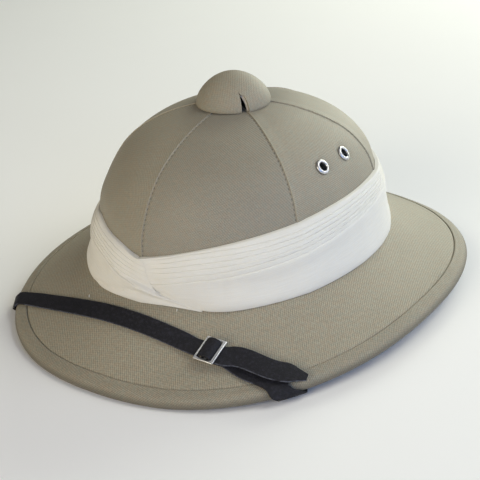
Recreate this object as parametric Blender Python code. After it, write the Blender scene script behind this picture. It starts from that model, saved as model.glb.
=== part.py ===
"""Pith helmet: a cloth-covered sun hat with a wound puggaree, an air cap and a chin strap.

Metres, +Z up. The helmet's front looks along -Y and the wearer's left is +X. The origin lies
under the middle of the brim, on the surface that the brim's front and back edges rest on.
Every piece is modelled round the crown's own upright axis, and the empty named helmet carries
them to their place. A bearing is an angle round that axis: 0 at the front, positive towards
the wearer's left.
"""

import math

import bmesh
import bpy
from mathutils import Matrix, Vector

MM = 0.001
GAP = 0.3 * MM                      # clear space between two pieces that touch

# Brim: plan from the crown's axis, and the height of its upper face
BRIM_FRONT = 168.9 * MM
BRIM_BACK = 171.1 * MM
BRIM_HALF_WIDTH = 146.4 * MM
FRONT_POWER = 2.26                  # superellipse powers of the front and back halves
BACK_POWER = 2.18
SIDE_LIFT = 9.4 * MM                # how much higher the edge is at the sides
RESTING_SHARE = 0.08                # share of the lift rule that stays flat at front and back
EDGE_HEIGHT = 4.9 * MM              # upper face above the edge's lowest line
FOOT_HEIGHT = 38.0 * MM             # where the crown stands on the brim
STRAIGHT_SHARE = 0.83               # 1 is a straight slope, less is steeper near the crown
BRIM_THICKNESS = 4.3 * MM
FOOT_THICKNESS = 4.6 * MM
BRIM_COLUMNS = 60

# Edge binding: a cloth roll that holds the brim's edge
BINDING_WIDTH = 9.0 * MM
BINDING_WALL = 1.2 * MM
BINDING_TOP = 1.0 * MM              # thickness of its upper leaf
BINDING_FLAT = (1.4 * MM, 3.6 * MM)  # the strip, from the edge inwards, that it rests on
BINDING_PLUMP = 0.35 * MM           # how far its middle stands above the brim

# Crown: a hollow dome of six gores
CROWN_HALF_WIDTH = 94.1 * MM
CROWN_HALF_LENGTH = 110.3 * MM
CROWN_TOP = 135.4 * MM
CROWN_WALL = 4.0 * MM
ROUND_POWER = 2.19                  # dome profile: radius power and height power
SHOULDER_POWER = 2.76
SEAM_BEARINGS = (-115.0, -62.0, 0.0, 62.0, 115.0, 180.0)
GORE_FLATNESS = 0.012               # a gore's middle lies this share inside its seams
GORE_COLUMNS = 10
AIR_HOLE = 0.11                     # hole under the cap, as a share of the crown's radius
OUTER_ROWS = 10
INNER_ROWS = 6

# Air cap on top
CAP_RADIUS = 25.2 * MM
CAP_RISE = 20.7 * MM
CAP_FOOT = 133.3 * MM
CAP_POWER = 1.76
CAP_WALL = 2.2 * MM
CAP_SIDES = 28
CAP_ROWS = 7
NOTCH_BEARING = 58.0
# columns: across the notch, up from the cap's foot (mm); its left lip is upright
NOTCH_OUTLINE = ((-4.5, -6.0), (1.0, -6.0), (1.0, 0.0), (0.7, 3.8), (0.1, 7.3), (-0.5, 9.2),
                 (-1.9, 10.2), (-3.4, 10.6), (-4.0, 5.0), (-4.5, 0.0))

# Eyelets: two in each side gore
EYELET_HEIGHT = 104.0 * MM
EYELET_BEARINGS = {"eyelet_left_front": 81.4, "eyelet_left_back": 98.0,
                   "eyelet_right_front": -81.4, "eyelet_right_back": -98.0}
EYELET_BARREL = 3.3 * MM
EYELET_SIDES = 14
# columns: radius, height (mm) from the crown's face; below -4 is the lip curled over inside
EYELET_PROFILE = ((2.5, -5.7), (2.5, 0.85), (3.0, 1.25), (4.2, 1.15), (5.0, 0.35), (3.3, 0.35),
                  (3.3, -5.0), (4.3, -5.5), (4.1, -5.9), (2.5, -5.7))

# Puggaree: two wraps that cross at the front
PUGGAREE_CLEAR = 0.5 * MM
# the right wrap's outside face. columns: bearing, distance out from the crown (mm)
RIGHT_DEPTH = ((22.0, 2.6), (38.0, 5.4), (70.0, 5.2), (100.0, 4.4))
UNDER_DEPTH = RIGHT_DEPTH[0][1] * MM   # where the left wrap lies on it
# the lower edges, which flare over the brim. columns: bearing, distance out (mm)
RIGHT_FOOT = ((23.5, 2.6), (29.0, 6.2), (35.0, 6.9), (51.0, 6.2), (60.0, 4.9), (76.0, 4.6),
              (98.0, 5.2))
LEFT_FOOT = ((-100.0, 6.0), (-60.0, 6.8), (-41.0, 7.4), (-27.0, 7.9), (-17.0, 6.8), (-8.0, 5.4),
             (2.0, 4.3), (13.0, 4.8), (23.0, 4.7))
PLEATS = 6
# the plain lower band. columns: share of its height, share of the way from its foot to its face
BAND_ROUND = ((0.0, 0.0), (0.12, 0.3), (0.5, 1.0), (0.85, 0.92))
PLEAT_LEAN = 0.09                   # each pleat lies this share of the thickness further in
PLEAT_FACE = 0.86                   # share of a pleat's height that its face takes
RIGHT_ROUND = 0.55                  # how far in the upper edge lies, as a share of the thickness
LEFT_ROUND = 0.8
INNER_SHARES = (1.0, 0.84, 0.66, 0.46, 0.24)   # rows up a wrap's plain inside
PLEAT_STEP = 0.9 * MM
PLEAT_LIMIT = 0.3                   # the most that a pleat steps, as a share of the thickness
# the wraps' upper edges. columns: bearing, height (mm)
RIGHT_TOP = ((0.0, 66.4), (14.0, 70.2), (29.5, 75.3), (46.7, 79.9), (67.0, 83.3), (82.0, 84.2),
             (99.0, 85.1), (114.0, 84.7), (128.0, 81.8), (180.0, 79.0))
LEFT_TOP = ((-180.0, 79.0), (-130.0, 76.5), (-80.0, 72.8), (-53.0, 73.6), (-37.0, 76.8),
            (-31.0, 75.9), (-20.5, 72.8), (-12.0, 70.4), (-4.6, 67.2), (0.0, 65.9))
RIGHT_WRAP = (-7.0, 179.8)
LEFT_WRAP = (-179.8, 23.0)
LEFT_CLIMBS = (-18.0, -9.0)         # bearings between which the left wrap rises onto it
LEFT_DEPTH = 6.0 * MM
LEFT_THINS = 1.4 * MM               # how much the left wrap thins towards its tip
PLEATS_FADE = (6.0, 11.0)           # bearings between which its pleats run out
# the left wrap's front end. columns: bearing, height of its upper edge (mm)
LEFT_END = ((0.0, 65.9), (3.6, 62.6), (5.2, 51.0), (8.2, 44.6), (15.5, 41.4), (23.0, 39.0))
# columns: bearing, share of the wrap's height taken by its plain lower band
LEFT_BAND = ((-60.0, 0.50), (-34.0, 0.50), (-24.0, 0.45), (-12.0, 0.38), (0.0, 0.35),
             (24.5, 0.40))
RIGHT_BAND = 0.44

# Chin strap
STRAP_WIDTH = 12.2 * MM
STRAP_THICKNESS = 1.4 * MM
STRAP_CLEAR = 0.5 * MM
WALL_CLEAR = 1.0 * MM               # its clear space from the crown's inside
STRAP_FRONT_Y = -125.3 * MM         # its run across the front of the brim, seen from above
STRAP_BEND_X = 17.0 * MM
STRAP_BEND = 0.70                   # per metre: how the run bows back towards the sides
LONG_START = -93.0 * MM             # the run lies on the brim from here
LONG_STOP = 40.0 * MM               # to here, and has this many steps
LONG_STEPS = 12
LONG_RIM = (-43.0, -48.0)           # bearings where the long end goes over and under the edge
SHORT_RIM = (40.2, 46.0)
# columns: share of the bearing from the edge to the head opening, climb towards the crown
UNDER_ROUTE = ((0.14, 0.20), (0.30, 0.31), (0.48, 0.45), (0.64, 0.62), (0.80, 0.80), (1.0, 0.97))
OPENING_BEARING = 67.0              # where it reaches the head opening
CORNER_BEARING = 69.5               # where it turns up the crown's inside
# columns: crown bearing, height on the crown's inside (mm)
WALL_ROUTE = ((74.0, 38.6), (77.0, 44.0), (79.5, 50.0), (81.5, 55.0), (82.7, 58.0))
RIVET_BEARING = 80.0
RIVET_HEIGHT = 51.0 * MM
RIVET_HEAD = 4.0 * MM
RIVET_SHANK = 1.5 * MM
RIVET_SIDES = 12

# Buckle: its own axes are x along the strap, y across it and z away from the brim
BUCKLE_PLACE = (60.4 * MM, -123.6 * MM)
BUCKLE_STANDS = 4.6 * MM
BUCKLE_YAW = 1.5
BUCKLE_TILT = 6.9                   # its right end up
BUCKLE_ROLL = -5.6                  # its front side up
BUCKLE_LENGTH = 13.8 * MM
BUCKLE_WIDTH = 18.4 * MM
LEFT_BAR = 1.1 * MM                 # widths of the frame's bars, seen from the front
RIGHT_BAR = 2.1 * MM
FRONT_BAR = 1.9 * MM
BACK_BAR = 1.4 * MM
BUCKLE_THICKNESS = 1.2 * MM
MIDDLE_BAR = (1.8 * MM, 1.4 * MM)   # width and thickness
MIDDLE_BAR_DROP = 0.9 * MM
# the long end's way through the buckle. columns: along, away from the brim, width (mm)
LONG_WEAVE = ((-13.0, -1.5, 12.2), (-9.0, -1.6, 12.2), (-7.4, -1.65, 12.6), (-5.9, -1.6, 13.4),
              (-5.0, -1.0, 14.0), (-4.6, 0.2, 14.0), (-3.9, 1.6, 14.0), (-2.3, 2.6, 14.0),
              (0.0, 2.85, 14.0), (2.0, 2.6, 14.0), (3.2, 1.7, 14.0), (3.7, 0.2, 14.0),
              (4.0, -1.0, 14.0), (4.9, -1.6, 14.0), (6.7, -1.65, 14.0), (9.5, -1.8, 14.0))
# the short end's hook round the buckle's middle bar. columns: the same
SHORT_HOOK = ((12.0, -4.2, 12.2), (6.5, -3.65, 12.2), (3.0, -3.1, 12.2), (1.0, -2.75, 12.2),
              (-0.9, -2.68, 12.2), (-1.7, -2.4, 12.2), (-2.05, -1.6, 12.2), (-2.05, -0.2, 12.2),
              (-1.7, 0.6, 12.2), (-0.9, 0.9, 12.2), (0.0, 0.9, 12.2), (1.2, 0.8, 12.2))
# the free end beyond the buckle. columns: x, y (mm), height over the brim (mm), width (mm)
TAIL_ROUTE = ((76.0, -119.4, 4.0, 14.0), (83.0, -117.6, 4.2, 14.0), (91.0, -116.7, 4.2, 14.0),
              (99.0, -115.4, 4.2, 14.0), (107.6, -112.2, 4.2, 13.7), (112.6, -110.5, 4.2, 9.6),
              (118.4, -108.6, 4.2, 4.9))
# the short end from the buckle to the edge. columns: x, y (mm)
SHORT_ROUTE = ((78.0, -123.5), (87.0, -123.6))

# Colour, roughness, metallic
CLOTH = ((0.215, 0.190, 0.140), 0.9, 0.0)
BINDING_CLOTH = ((0.200, 0.176, 0.128), 0.9, 0.0)
WHITE_COTTON = ((0.74, 0.71, 0.64), 0.85, 0.0)
BLACK_LEATHER = ((0.016, 0.016, 0.020), 0.5, 0.0)
NICKEL = ((0.72, 0.71, 0.69), 0.25, 1.0)


# ---------------------------------------------------------------- shapes as formulas

def ease(value, low, high):
    """0 below low, 1 above high, and a smooth step between them."""
    share = min(1.0, max(0.0, (value - low) / (high - low)))
    return share * share * (3.0 - 2.0 * share)


def read_table(table, key):
    """Second column of a table at a value of its first column, straight between its rows."""
    if key <= table[0][0]:
        return table[0][1]
    for (key_a, value_a), (key_b, value_b) in zip(table, table[1:]):
        if key <= key_b:
            return value_a + (value_b - value_a) * (key - key_a) / (key_b - key_a)
    return table[-1][1]


def polar(bearing, radius, height):
    return Vector((radius * math.sin(bearing), -radius * math.cos(bearing), height))


def rim_radius(bearing):
    """Distance from the crown's axis to the brim's edge."""
    at_front = math.cos(bearing) > 0.0
    reach = BRIM_FRONT if at_front else BRIM_BACK
    power = FRONT_POWER if at_front else BACK_POWER
    across = abs(math.sin(bearing)) / BRIM_HALF_WIDTH
    along = abs(math.cos(bearing)) / reach
    return (across ** power + along ** power) ** (-1.0 / power)


def foot_radius(bearing):
    """Distance from the axis to the crown's outside, where it stands on the brim."""
    return 1.0 / math.hypot(math.sin(bearing) / CROWN_HALF_WIDTH,
                            math.cos(bearing) / CROWN_HALF_LENGTH)


def rim_lift(bearing):
    """Height of the edge's lowest line: 0 at the front and back, most at the sides."""
    reach = BRIM_FRONT if math.cos(bearing) > 0.0 else BRIM_BACK
    forward = rim_radius(bearing) * math.cos(bearing) / reach
    share = 1.0 - forward * forward - RESTING_SHARE
    return SIDE_LIFT * max(0.0, share) / (1.0 - RESTING_SHARE)


def brim_top(bearing, radius):
    """Height of the brim's upper face."""
    rim = rim_radius(bearing)
    climb = (rim - radius) / (rim - foot_radius(bearing))
    edge = rim_lift(bearing) + EDGE_HEIGHT
    return edge + (FOOT_HEIGHT - edge) * climb * (STRAIGHT_SHARE + (1.0 - STRAIGHT_SHARE) * climb)


def brim_top_at(x, y):
    return brim_top(math.atan2(x, -y), math.hypot(x, y))


def gore_factor(bearing):
    """1 on a seam and a little less in the middle of a gore."""
    degrees = (math.degrees(bearing) + 180.0) % 360.0 - 180.0
    edges = (-180.0,) + SEAM_BEARINGS
    for low, high in zip(edges, edges[1:]):
        if degrees <= high + 1e-9:
            across = 2.0 * (degrees - low) / (high - low) - 1.0
            return 1.0 - GORE_FLATNESS * (1.0 - across * across)
    return 1.0


def crown_point(bearing, sweep, inset=0.0):
    """Point of the crown at a sweep of 0 at its foot and 90 degrees at its top."""
    ring = gore_factor(bearing) * math.cos(sweep) ** (2.0 / ROUND_POWER)
    rise = CROWN_TOP - inset - FOOT_HEIGHT - GAP
    return Vector(((CROWN_HALF_WIDTH - inset) * ring * math.sin(bearing),
                   -(CROWN_HALF_LENGTH - inset) * ring * math.cos(bearing),
                   FOOT_HEIGHT + GAP + rise * math.sin(sweep) ** (2.0 / SHOULDER_POWER)))


def crown_sweep(height, inset=0.0):
    rise = CROWN_TOP - inset - FOOT_HEIGHT - GAP
    share = max(0.0, (height - FOOT_HEIGHT - GAP) / rise)
    return math.asin(share ** (SHOULDER_POWER / 2.0))


def crown_outside(bearing, height, offset):
    """Point beside the crown: its outside at a height, moved straight out by an offset."""
    ring = gore_factor(bearing) * math.cos(crown_sweep(height)) ** (2.0 / ROUND_POWER)
    return Vector(((CROWN_HALF_WIDTH * ring + offset) * math.sin(bearing),
                   -(CROWN_HALF_LENGTH * ring + offset) * math.cos(bearing), height))


def crown_normal(bearing, sweep, inset=0.0):
    """Outward direction of the crown's face."""
    step = 0.01
    level = crown_point(bearing + step, sweep, inset) - crown_point(bearing - step, sweep, inset)
    upward = crown_point(bearing, sweep + step, inset) - crown_point(bearing, sweep - step, inset)
    return level.cross(upward).normalized()


def crown_height(x, y):
    """Height of the crown's outside over a point in plan."""
    bearing = math.atan2(x / CROWN_HALF_WIDTH, -y / CROWN_HALF_LENGTH)
    ring = math.hypot(x / CROWN_HALF_WIDTH, y / CROWN_HALF_LENGTH) / gore_factor(bearing)
    rise = CROWN_TOP - FOOT_HEIGHT - GAP
    return FOOT_HEIGHT + GAP + rise * (1.0 - ring ** ROUND_POWER) ** (1.0 / SHOULDER_POWER)


def brim_normal(x, y):
    """Upward direction of the brim's upper face."""
    step = 1.0 * MM
    slope_x = (brim_top_at(x + step, y) - brim_top_at(x - step, y)) / (2.0 * step)
    slope_y = (brim_top_at(x, y + step) - brim_top_at(x, y - step)) / (2.0 * step)
    return Vector((-slope_x, -slope_y, 1.0)).normalized()


# ---------------------------------------------------------------- building blocks

def finish(colour):
    """Material of one finish, made once."""
    (red, green, blue), roughness, metallic = colour
    name = f"finish_{int(red * 1000)}_{int(roughness * 100)}"
    material = bpy.data.materials.get(name)
    if material is None:
        material = bpy.data.materials.new(name)
        material.use_nodes = True
        shader = material.node_tree.nodes["Principled BSDF"]
        shader.inputs["Base Color"].default_value = (red, green, blue, 1.0)
        shader.inputs["Roughness"].default_value = roughness
        shader.inputs["Metallic"].default_value = metallic
    return material


def add_piece(name, bm, colour, sharp=40.0):
    """Object from a bmesh, under the helmet's empty."""
    bmesh.ops.recalc_face_normals(bm, faces=bm.faces)
    mesh = bpy.data.meshes.new(name)
    bm.to_mesh(mesh)
    bm.free()
    mesh.shade_smooth()
    mesh.set_sharp_from_angle(angle=math.radians(sharp))
    mesh.materials.append(finish(colour))
    piece = bpy.data.objects.new(name, mesh)
    bpy.context.scene.collection.objects.link(piece)
    piece.parent = bpy.data.objects["helmet"]
    return piece


def join_sections(sections, closed):
    """Bmesh skin over a row of closed sections, joined end to end or capped."""
    bm = bmesh.new()
    rows = [[bm.verts.new(point) for point in section] for section in sections]
    pairs = list(zip(rows, rows[1:]))
    if closed:
        pairs.append((rows[-1], rows[0]))
    count = len(rows[0])
    for row, following in pairs:
        for i in range(count):
            j = (i + 1) % count
            bm.faces.new((row[i], row[j], following[j], following[i]))
    if not closed:
        bm.faces.new(rows[0])
        bm.faces.new(rows[-1])
    return bm


def spin_profile(profile, sides):
    """Bmesh turned round the Z axis from a profile of (radius, height) points."""
    bm = bmesh.new()
    verts = [bm.verts.new((radius, 0.0, height)) for radius, height in profile]
    edges = [bm.edges.new(pair) for pair in zip(verts, verts[1:])]
    bmesh.ops.spin(bm, geom=verts + edges, cent=(0.0, 0.0, 0.0), axis=(0.0, 0.0, 1.0),
                   angle=math.tau, steps=sides, use_merge=True, use_duplicate=False)
    bmesh.ops.remove_doubles(bm, verts=bm.verts, dist=0.01 * MM)
    return bm


def upright_frame(point, normal):
    """Placement whose Z axis is the normal and whose X axis is level."""
    level = Vector((0.0, 0.0, 1.0)).cross(normal).normalized()
    axes = Matrix((level, normal.cross(level), normal)).transposed()
    return Matrix.Translation(point) @ axes.to_4x4()


def hide_cutter(cutter):
    cutter.hide_render = True
    cutter.display_type = "WIRE"


def add_boolean(piece, other, operation="DIFFERENCE"):
    cut = piece.modifiers.new(other.name, "BOOLEAN")
    cut.object = other
    cut.operation = operation
    cut.solver = "EXACT"
    hide_cutter(other)


def drill(piece, place, radius, half_depth):
    """Round hole along the Z axis of a placement."""
    bm = bmesh.new()
    bmesh.ops.create_cone(bm, cap_ends=True, segments=EYELET_SIDES, radius1=radius,
                          radius2=radius, depth=2.0 * half_depth)
    cutter = add_piece(f"hole_{len(piece.modifiers)}_{piece.name}", bm, CLOTH)
    cutter.matrix_basis = place
    add_boolean(piece, cutter)


# ---------------------------------------------------------------- brim and its binding

def column_bearings():
    return [math.tau * i / BRIM_COLUMNS for i in range(BRIM_COLUMNS)]


def brim_section(bearing):
    """Closed section of the brim, from its edge over the top to the opening and back below."""
    rim = rim_radius(bearing)
    foot = foot_radius(bearing)
    nose = rim - BINDING_WALL - GAP
    step = rim - BINDING_WIDTH - GAP
    middle = [step + (foot - step) * share for share in (0.35, 0.7)]
    sunk = BINDING_TOP + GAP
    section = [(nose, brim_top(bearing, nose) - sunk), (step, brim_top(bearing, step) - sunk),
               (step, brim_top(bearing, step))]
    section += [(radius, brim_top(bearing, radius)) for radius in middle]
    section += [(foot, FOOT_HEIGHT), (foot - CROWN_WALL, FOOT_HEIGHT),
                (foot - CROWN_WALL, FOOT_HEIGHT - FOOT_THICKNESS),
                (foot, FOOT_HEIGHT - FOOT_THICKNESS)]
    section += [(radius, brim_top(bearing, radius) - BRIM_THICKNESS)
                for radius in reversed([step] + middle)]
    section.append((nose, brim_top(bearing, nose) - BRIM_THICKNESS + 0.4 * MM))
    return section


def binding_outline(bearing):
    """Outside of the binding, from its upper inner hem round the edge to its lower one."""
    rim = rim_radius(bearing)
    lift = rim_lift(bearing)

    def over(inset, proud):
        return rim - inset, brim_top(bearing, rim - inset) + proud

    flat_from, flat_to = BINDING_FLAT
    return [over(BINDING_WIDTH, 0.0), over(5.5 * MM, BINDING_PLUMP), over(2.4 * MM, 0.1 * MM),
            over(0.6 * MM, -1.5 * MM), (rim, lift + 2.7 * MM), (rim - 0.45 * MM, lift + 1.0 * MM),
            (rim - flat_from, lift), (rim - flat_to, lift),
            over(BINDING_WIDTH, -BRIM_THICKNESS - BINDING_TOP - 0.1 * MM)]


def binding_section(bearing):
    rim = rim_radius(bearing)
    inner = [(rim - inset, brim_top(bearing, rim - inset) - depth)
             for inset, depth in ((BINDING_WIDTH, BRIM_THICKNESS + GAP),
                                  (BINDING_WALL, BRIM_THICKNESS - 0.1 * MM),
                                  (BINDING_WALL, BINDING_TOP), (BINDING_WIDTH, BINDING_TOP))]
    return binding_outline(bearing) + inner


def make_brim():
    sections = [[polar(b, radius, height) for radius, height in brim_section(b)]
                for b in column_bearings()]
    add_piece("brim", join_sections(sections, closed=True), CLOTH)


def make_binding():
    sections = [[polar(b, radius, height) for radius, height in binding_section(b)]
                for b in column_bearings()]
    add_piece("edge_binding", join_sections(sections, closed=True), BINDING_CLOTH)


# ---------------------------------------------------------------- crown, cap and eyelets

def crown_bearings():
    """Bearings of the crown's columns: the same number in every gore."""
    edges = (-180.0,) + SEAM_BEARINGS
    return [math.radians(low + (high - low) * i / GORE_COLUMNS)
            for low, high in zip(edges, edges[1:]) for i in range(GORE_COLUMNS)]


def crown_sweeps(rows):
    """Sweeps from the foot up to the air hole, closer together near the foot."""
    top = math.acos(AIR_HOLE ** (ROUND_POWER / 2.0))
    return [top * (i / rows) ** 1.3 for i in range(rows + 1)]


def make_crown():
    sections = []
    for bearing in crown_bearings():
        outside = [crown_point(bearing, sweep) for sweep in crown_sweeps(OUTER_ROWS)]
        inside = [crown_point(bearing, sweep, CROWN_WALL) for sweep in crown_sweeps(INNER_ROWS)]
        sections.append(outside + inside[::-1])
    crown = add_piece("crown", join_sections(sections, closed=True), CLOTH)
    for degrees in EYELET_BEARINGS.values():
        drill(crown, eyelet_place(degrees), EYELET_BARREL + GAP, 3.0 * CROWN_WALL)
    for side in (-1.0, 1.0):
        drill(crown, rivet_place(side), RIVET_SHANK + GAP, 3.0 * CROWN_WALL)


def make_cap():
    """Hollow dome whose foot follows the crown, with a notch cut up from the foot."""
    sweeps = [math.pi / 2.0 * (1.0 - i / CAP_ROWS) for i in range(CAP_ROWS + 1)]

    def dome(radius, rise):
        return [(radius * abs(math.cos(s)) ** (2.0 / CAP_POWER) if s < math.pi / 2.0 else 0.0,
                 CAP_FOOT + rise * math.sin(s) ** (2.0 / CAP_POWER)) for s in sweeps]

    profile = dome(CAP_RADIUS, CAP_RISE)
    profile += reversed(dome(CAP_RADIUS - CAP_WALL, CAP_RISE - CAP_WALL))
    bm = spin_profile(profile, CAP_SIDES)
    for vert in bm.verts:
        if vert.co.z < CAP_FOOT + 0.1 * MM:
            vert.co.z = crown_height(vert.co.x, vert.co.y) + GAP
    cap = add_piece("vent_cap", bm, CLOTH)

    notch = bmesh.new()
    outline = [notch.verts.new((across * MM, 0.0, up * MM)) for across, up in NOTCH_OUTLINE]
    face = notch.faces.new(outline)
    grown = bmesh.ops.extrude_face_region(notch, geom=[face])
    moved = [item for item in grown["geom"] if isinstance(item, bmesh.types.BMVert)]
    bmesh.ops.translate(notch, verts=moved, vec=(0.0, 24.0 * MM, 0.0))
    cutter = add_piece("notch_cutter", notch, CLOTH)
    bearing = math.radians(NOTCH_BEARING)
    cutter.rotation_euler = (0.0, 0.0, bearing)
    cutter.location = polar(bearing, CAP_RADIUS + 6.0 * MM, CAP_FOOT)
    add_boolean(cap, cutter)


def eyelet_place(degrees):
    bearing = math.radians(degrees)
    sweep = crown_sweep(EYELET_HEIGHT)
    return upright_frame(crown_point(bearing, sweep), crown_normal(bearing, sweep))


def make_eyelets():
    """Turned eyelets: a domed flange outside, a barrel through the wall, a curled lip inside."""
    profile = [(radius * MM, height * MM) for radius, height in EYELET_PROFILE]
    for name, degrees in EYELET_BEARINGS.items():
        eyelet = add_piece(name, spin_profile(profile, EYELET_SIDES), NICKEL)
        eyelet.matrix_basis = eyelet_place(degrees)


# ---------------------------------------------------------------- puggaree

def wrap_rows(low, fold, high, flare, pleat_step, top_round):
    """Heights and depth shares of a wrap's outside, from its lower to its upper edge."""
    band = fold - low
    rows = [(low + band * share, flare * (1.0 - way)) for share, way in BAND_ROUND]
    pleat = (high - fold) / PLEATS
    for i in range(PLEATS):
        lean = -PLEAT_LEAN * i
        rows.append((fold + pleat * i, lean))
        rows.append((fold + pleat * (i + PLEAT_FACE), lean - pleat_step))
    rows[-1] = (high, -top_round)
    return rows


def wrap_section(bearing, high, band, inner, outer, foot, top_round, pleating=1.0):
    """Closed section of a wrap: up its pleated outside and down its plain inside."""
    beside = crown_outside(bearing, FOOT_HEIGHT, foot)
    low = brim_top_at(beside.x, beside.y) + 2.0 * GAP
    thickness = outer - inner
    fold = low + band * (high - low)
    pleat_step = pleating * min(PLEAT_STEP / thickness, PLEAT_LIMIT)
    section = [crown_outside(bearing, height, outer + share * thickness)
               for height, share in wrap_rows(low, fold, high, (foot - outer) / thickness,
                                              pleat_step, top_round)]
    section[0].z = brim_top_at(section[0].x, section[0].y) + 2.0 * GAP
    rise = high - 0.3 * MM - FOOT_HEIGHT
    section += [crown_outside(bearing, FOOT_HEIGHT + rise * share, inner) for share in INNER_SHARES]
    inside = crown_outside(bearing, FOOT_HEIGHT, inner)
    inside.z = brim_top_at(inside.x, inside.y) + 2.0 * GAP
    section.append(inside)
    return section


def wrap_bearings(first, last, step):
    count = round((last - first) / step)
    return [first + (last - first) * i / count for i in range(count + 1)]


def make_right_wrap():
    """Wrap from under the crossing, round the wearer's left, to the back."""
    sections = []
    for degrees in wrap_bearings(*RIGHT_WRAP, 6.0):
        high = read_table(RIGHT_TOP, degrees) * MM
        outer = read_table(RIGHT_DEPTH, degrees) * MM
        foot = read_table(RIGHT_FOOT, degrees) * MM
        sections.append(wrap_section(math.radians(degrees), high, RIGHT_BAND, PUGGAREE_CLEAR, outer,
                                     foot, RIGHT_ROUND))
    add_piece("puggaree_right_wrap", join_sections(sections, closed=False), WHITE_COTTON, sharp=60.0)


def make_left_wrap():
    """Wrap from the back, round the wearer's right, over the crossing to its tapered end."""
    sections = []
    last_plain = LEFT_END[0][0]
    bearings = wrap_bearings(LEFT_WRAP[0], last_plain, 6.0)
    bearings += [2.0, 3.6, 5.2, 6.7, 8.2, 11.8, 15.5, 19.0, LEFT_WRAP[1]]
    for degrees in bearings:
        high = read_table(LEFT_TOP if degrees < last_plain else LEFT_END, degrees) * MM
        lifted = ease(degrees, *LEFT_CLIMBS)
        inner = PUGGAREE_CLEAR + (UNDER_DEPTH - PUGGAREE_CLEAR + 2.0 * GAP) * lifted
        outer = LEFT_DEPTH - LEFT_THINS * ease(degrees, 8.0, LEFT_WRAP[1])
        foot = read_table(LEFT_FOOT, degrees) * MM
        band = read_table(LEFT_BAND, degrees)
        sections.append(wrap_section(math.radians(degrees), high, band, inner, outer, foot,
                                     LEFT_ROUND, 1.0 - ease(degrees, *PLEATS_FADE)))
    add_piece("puggaree_left_wrap", join_sections(sections, closed=False), WHITE_COTTON, sharp=60.0)


# ---------------------------------------------------------------- chin strap and buckle

def station(point, normal, across=None, width=STRAP_WIDTH):
    """Place on a strap's middle line; across is given where it isn't square to the run."""
    return point, normal, across, width


def strap_body(name, stations):
    sections = []
    for i, (point, normal, across, width) in enumerate(stations):
        behind = stations[max(i - 1, 0)][0]
        ahead = stations[min(i + 1, len(stations) - 1)][0]
        run = (ahead - behind).normalized()
        square = normal.cross(run).normalized()
        out = run.cross(square) * (STRAP_THICKNESS / 2.0)
        lean = across if across is not None else square
        edge = lean * (width / 2.0 / lean.dot(square))
        sections.append([point - edge - out, point + edge - out,
                         point + edge + out, point - edge + out])
    return add_piece(name, join_sections(sections, closed=False), BLACK_LEATHER, sharp=50.0)


def over_brim(x, y, height, width=STRAP_WIDTH):
    """Station over the brim's upper face; height is that of the strap's middle."""
    normal = brim_normal(x, y)
    return station(Vector((x, y, brim_top_at(x, y))) + normal * height, normal, None, width)


def round_the_rim(bearings):
    """Stations over the edge roll and under it, from a first bearing to a second."""
    first, last = (math.radians(value) for value in bearings)
    outline_size = len(binding_outline(first))
    stations = []
    for i in range(1, outline_size):
        bearing = first + (last - first) * (i - 1) / (outline_size - 2)
        outline = binding_outline(bearing)
        radius, height = outline[i]
        before = Vector(outline[i - 1])
        after = Vector(outline[min(i + 1, outline_size - 1)])
        slope = (after - before).normalized()
        away = Vector((-slope.y, slope.x))
        if away.dot(Vector((radius, height)) - Vector((rim_radius(bearing) - 4.0 * MM,
                                                       rim_lift(bearing) + 3.0 * MM))) < 0.0:
            away = -away
        reach = STRAP_CLEAR + STRAP_THICKNESS / 2.0 + 0.15 * MM
        point = polar(bearing, radius + away.x * reach, height + away.y * reach)
        normal = polar(bearing, away.x, away.y)
        tangent = polar(bearing + 0.01, rim_radius(bearing + 0.01), rim_lift(bearing + 0.01))
        tangent -= polar(bearing - 0.01, rim_radius(bearing - 0.01), rim_lift(bearing - 0.01))
        stations.append((point, normal, tangent.normalized()))
    return stations


def toward_square(stations):
    """Gives each station its across direction, with the sign that its run asks for."""
    result = []
    for i, (point, normal, tangent) in enumerate(stations):
        behind = stations[max(i - 1, 0)][0]
        ahead = stations[min(i + 1, len(stations) - 1)][0]
        square = normal.cross(ahead - behind)
        across = tangent if tangent.dot(square) > 0.0 else -tangent
        result.append(station(point, normal, across))
    return result


def contour(bearing, radius_rule):
    """Level direction along the edge or the opening at a bearing."""
    step = 0.01
    ahead = polar(bearing + step, radius_rule(bearing + step), 0.0)
    return (ahead - polar(bearing - step, radius_rule(bearing - step), 0.0)).normalized()


def under_brim(side, rim_bearing):
    """Stations from the edge, under the brim, to the head opening."""
    stations = []
    for share, climb in UNDER_ROUTE:
        bearing = math.radians(rim_bearing + (side * OPENING_BEARING - rim_bearing) * share)
        rim = rim_radius(bearing)
        radius = rim + (foot_radius(bearing) - rim) * climb
        point = polar(bearing, radius, brim_top(bearing, radius))
        normal = -brim_normal(point.x, point.y)
        hang = BRIM_THICKNESS + STRAP_CLEAR + STRAP_THICKNESS / 2.0 + 0.8 * MM
        stations.append((point + normal * hang, normal, contour(bearing, foot_radius)))
    return stations


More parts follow.
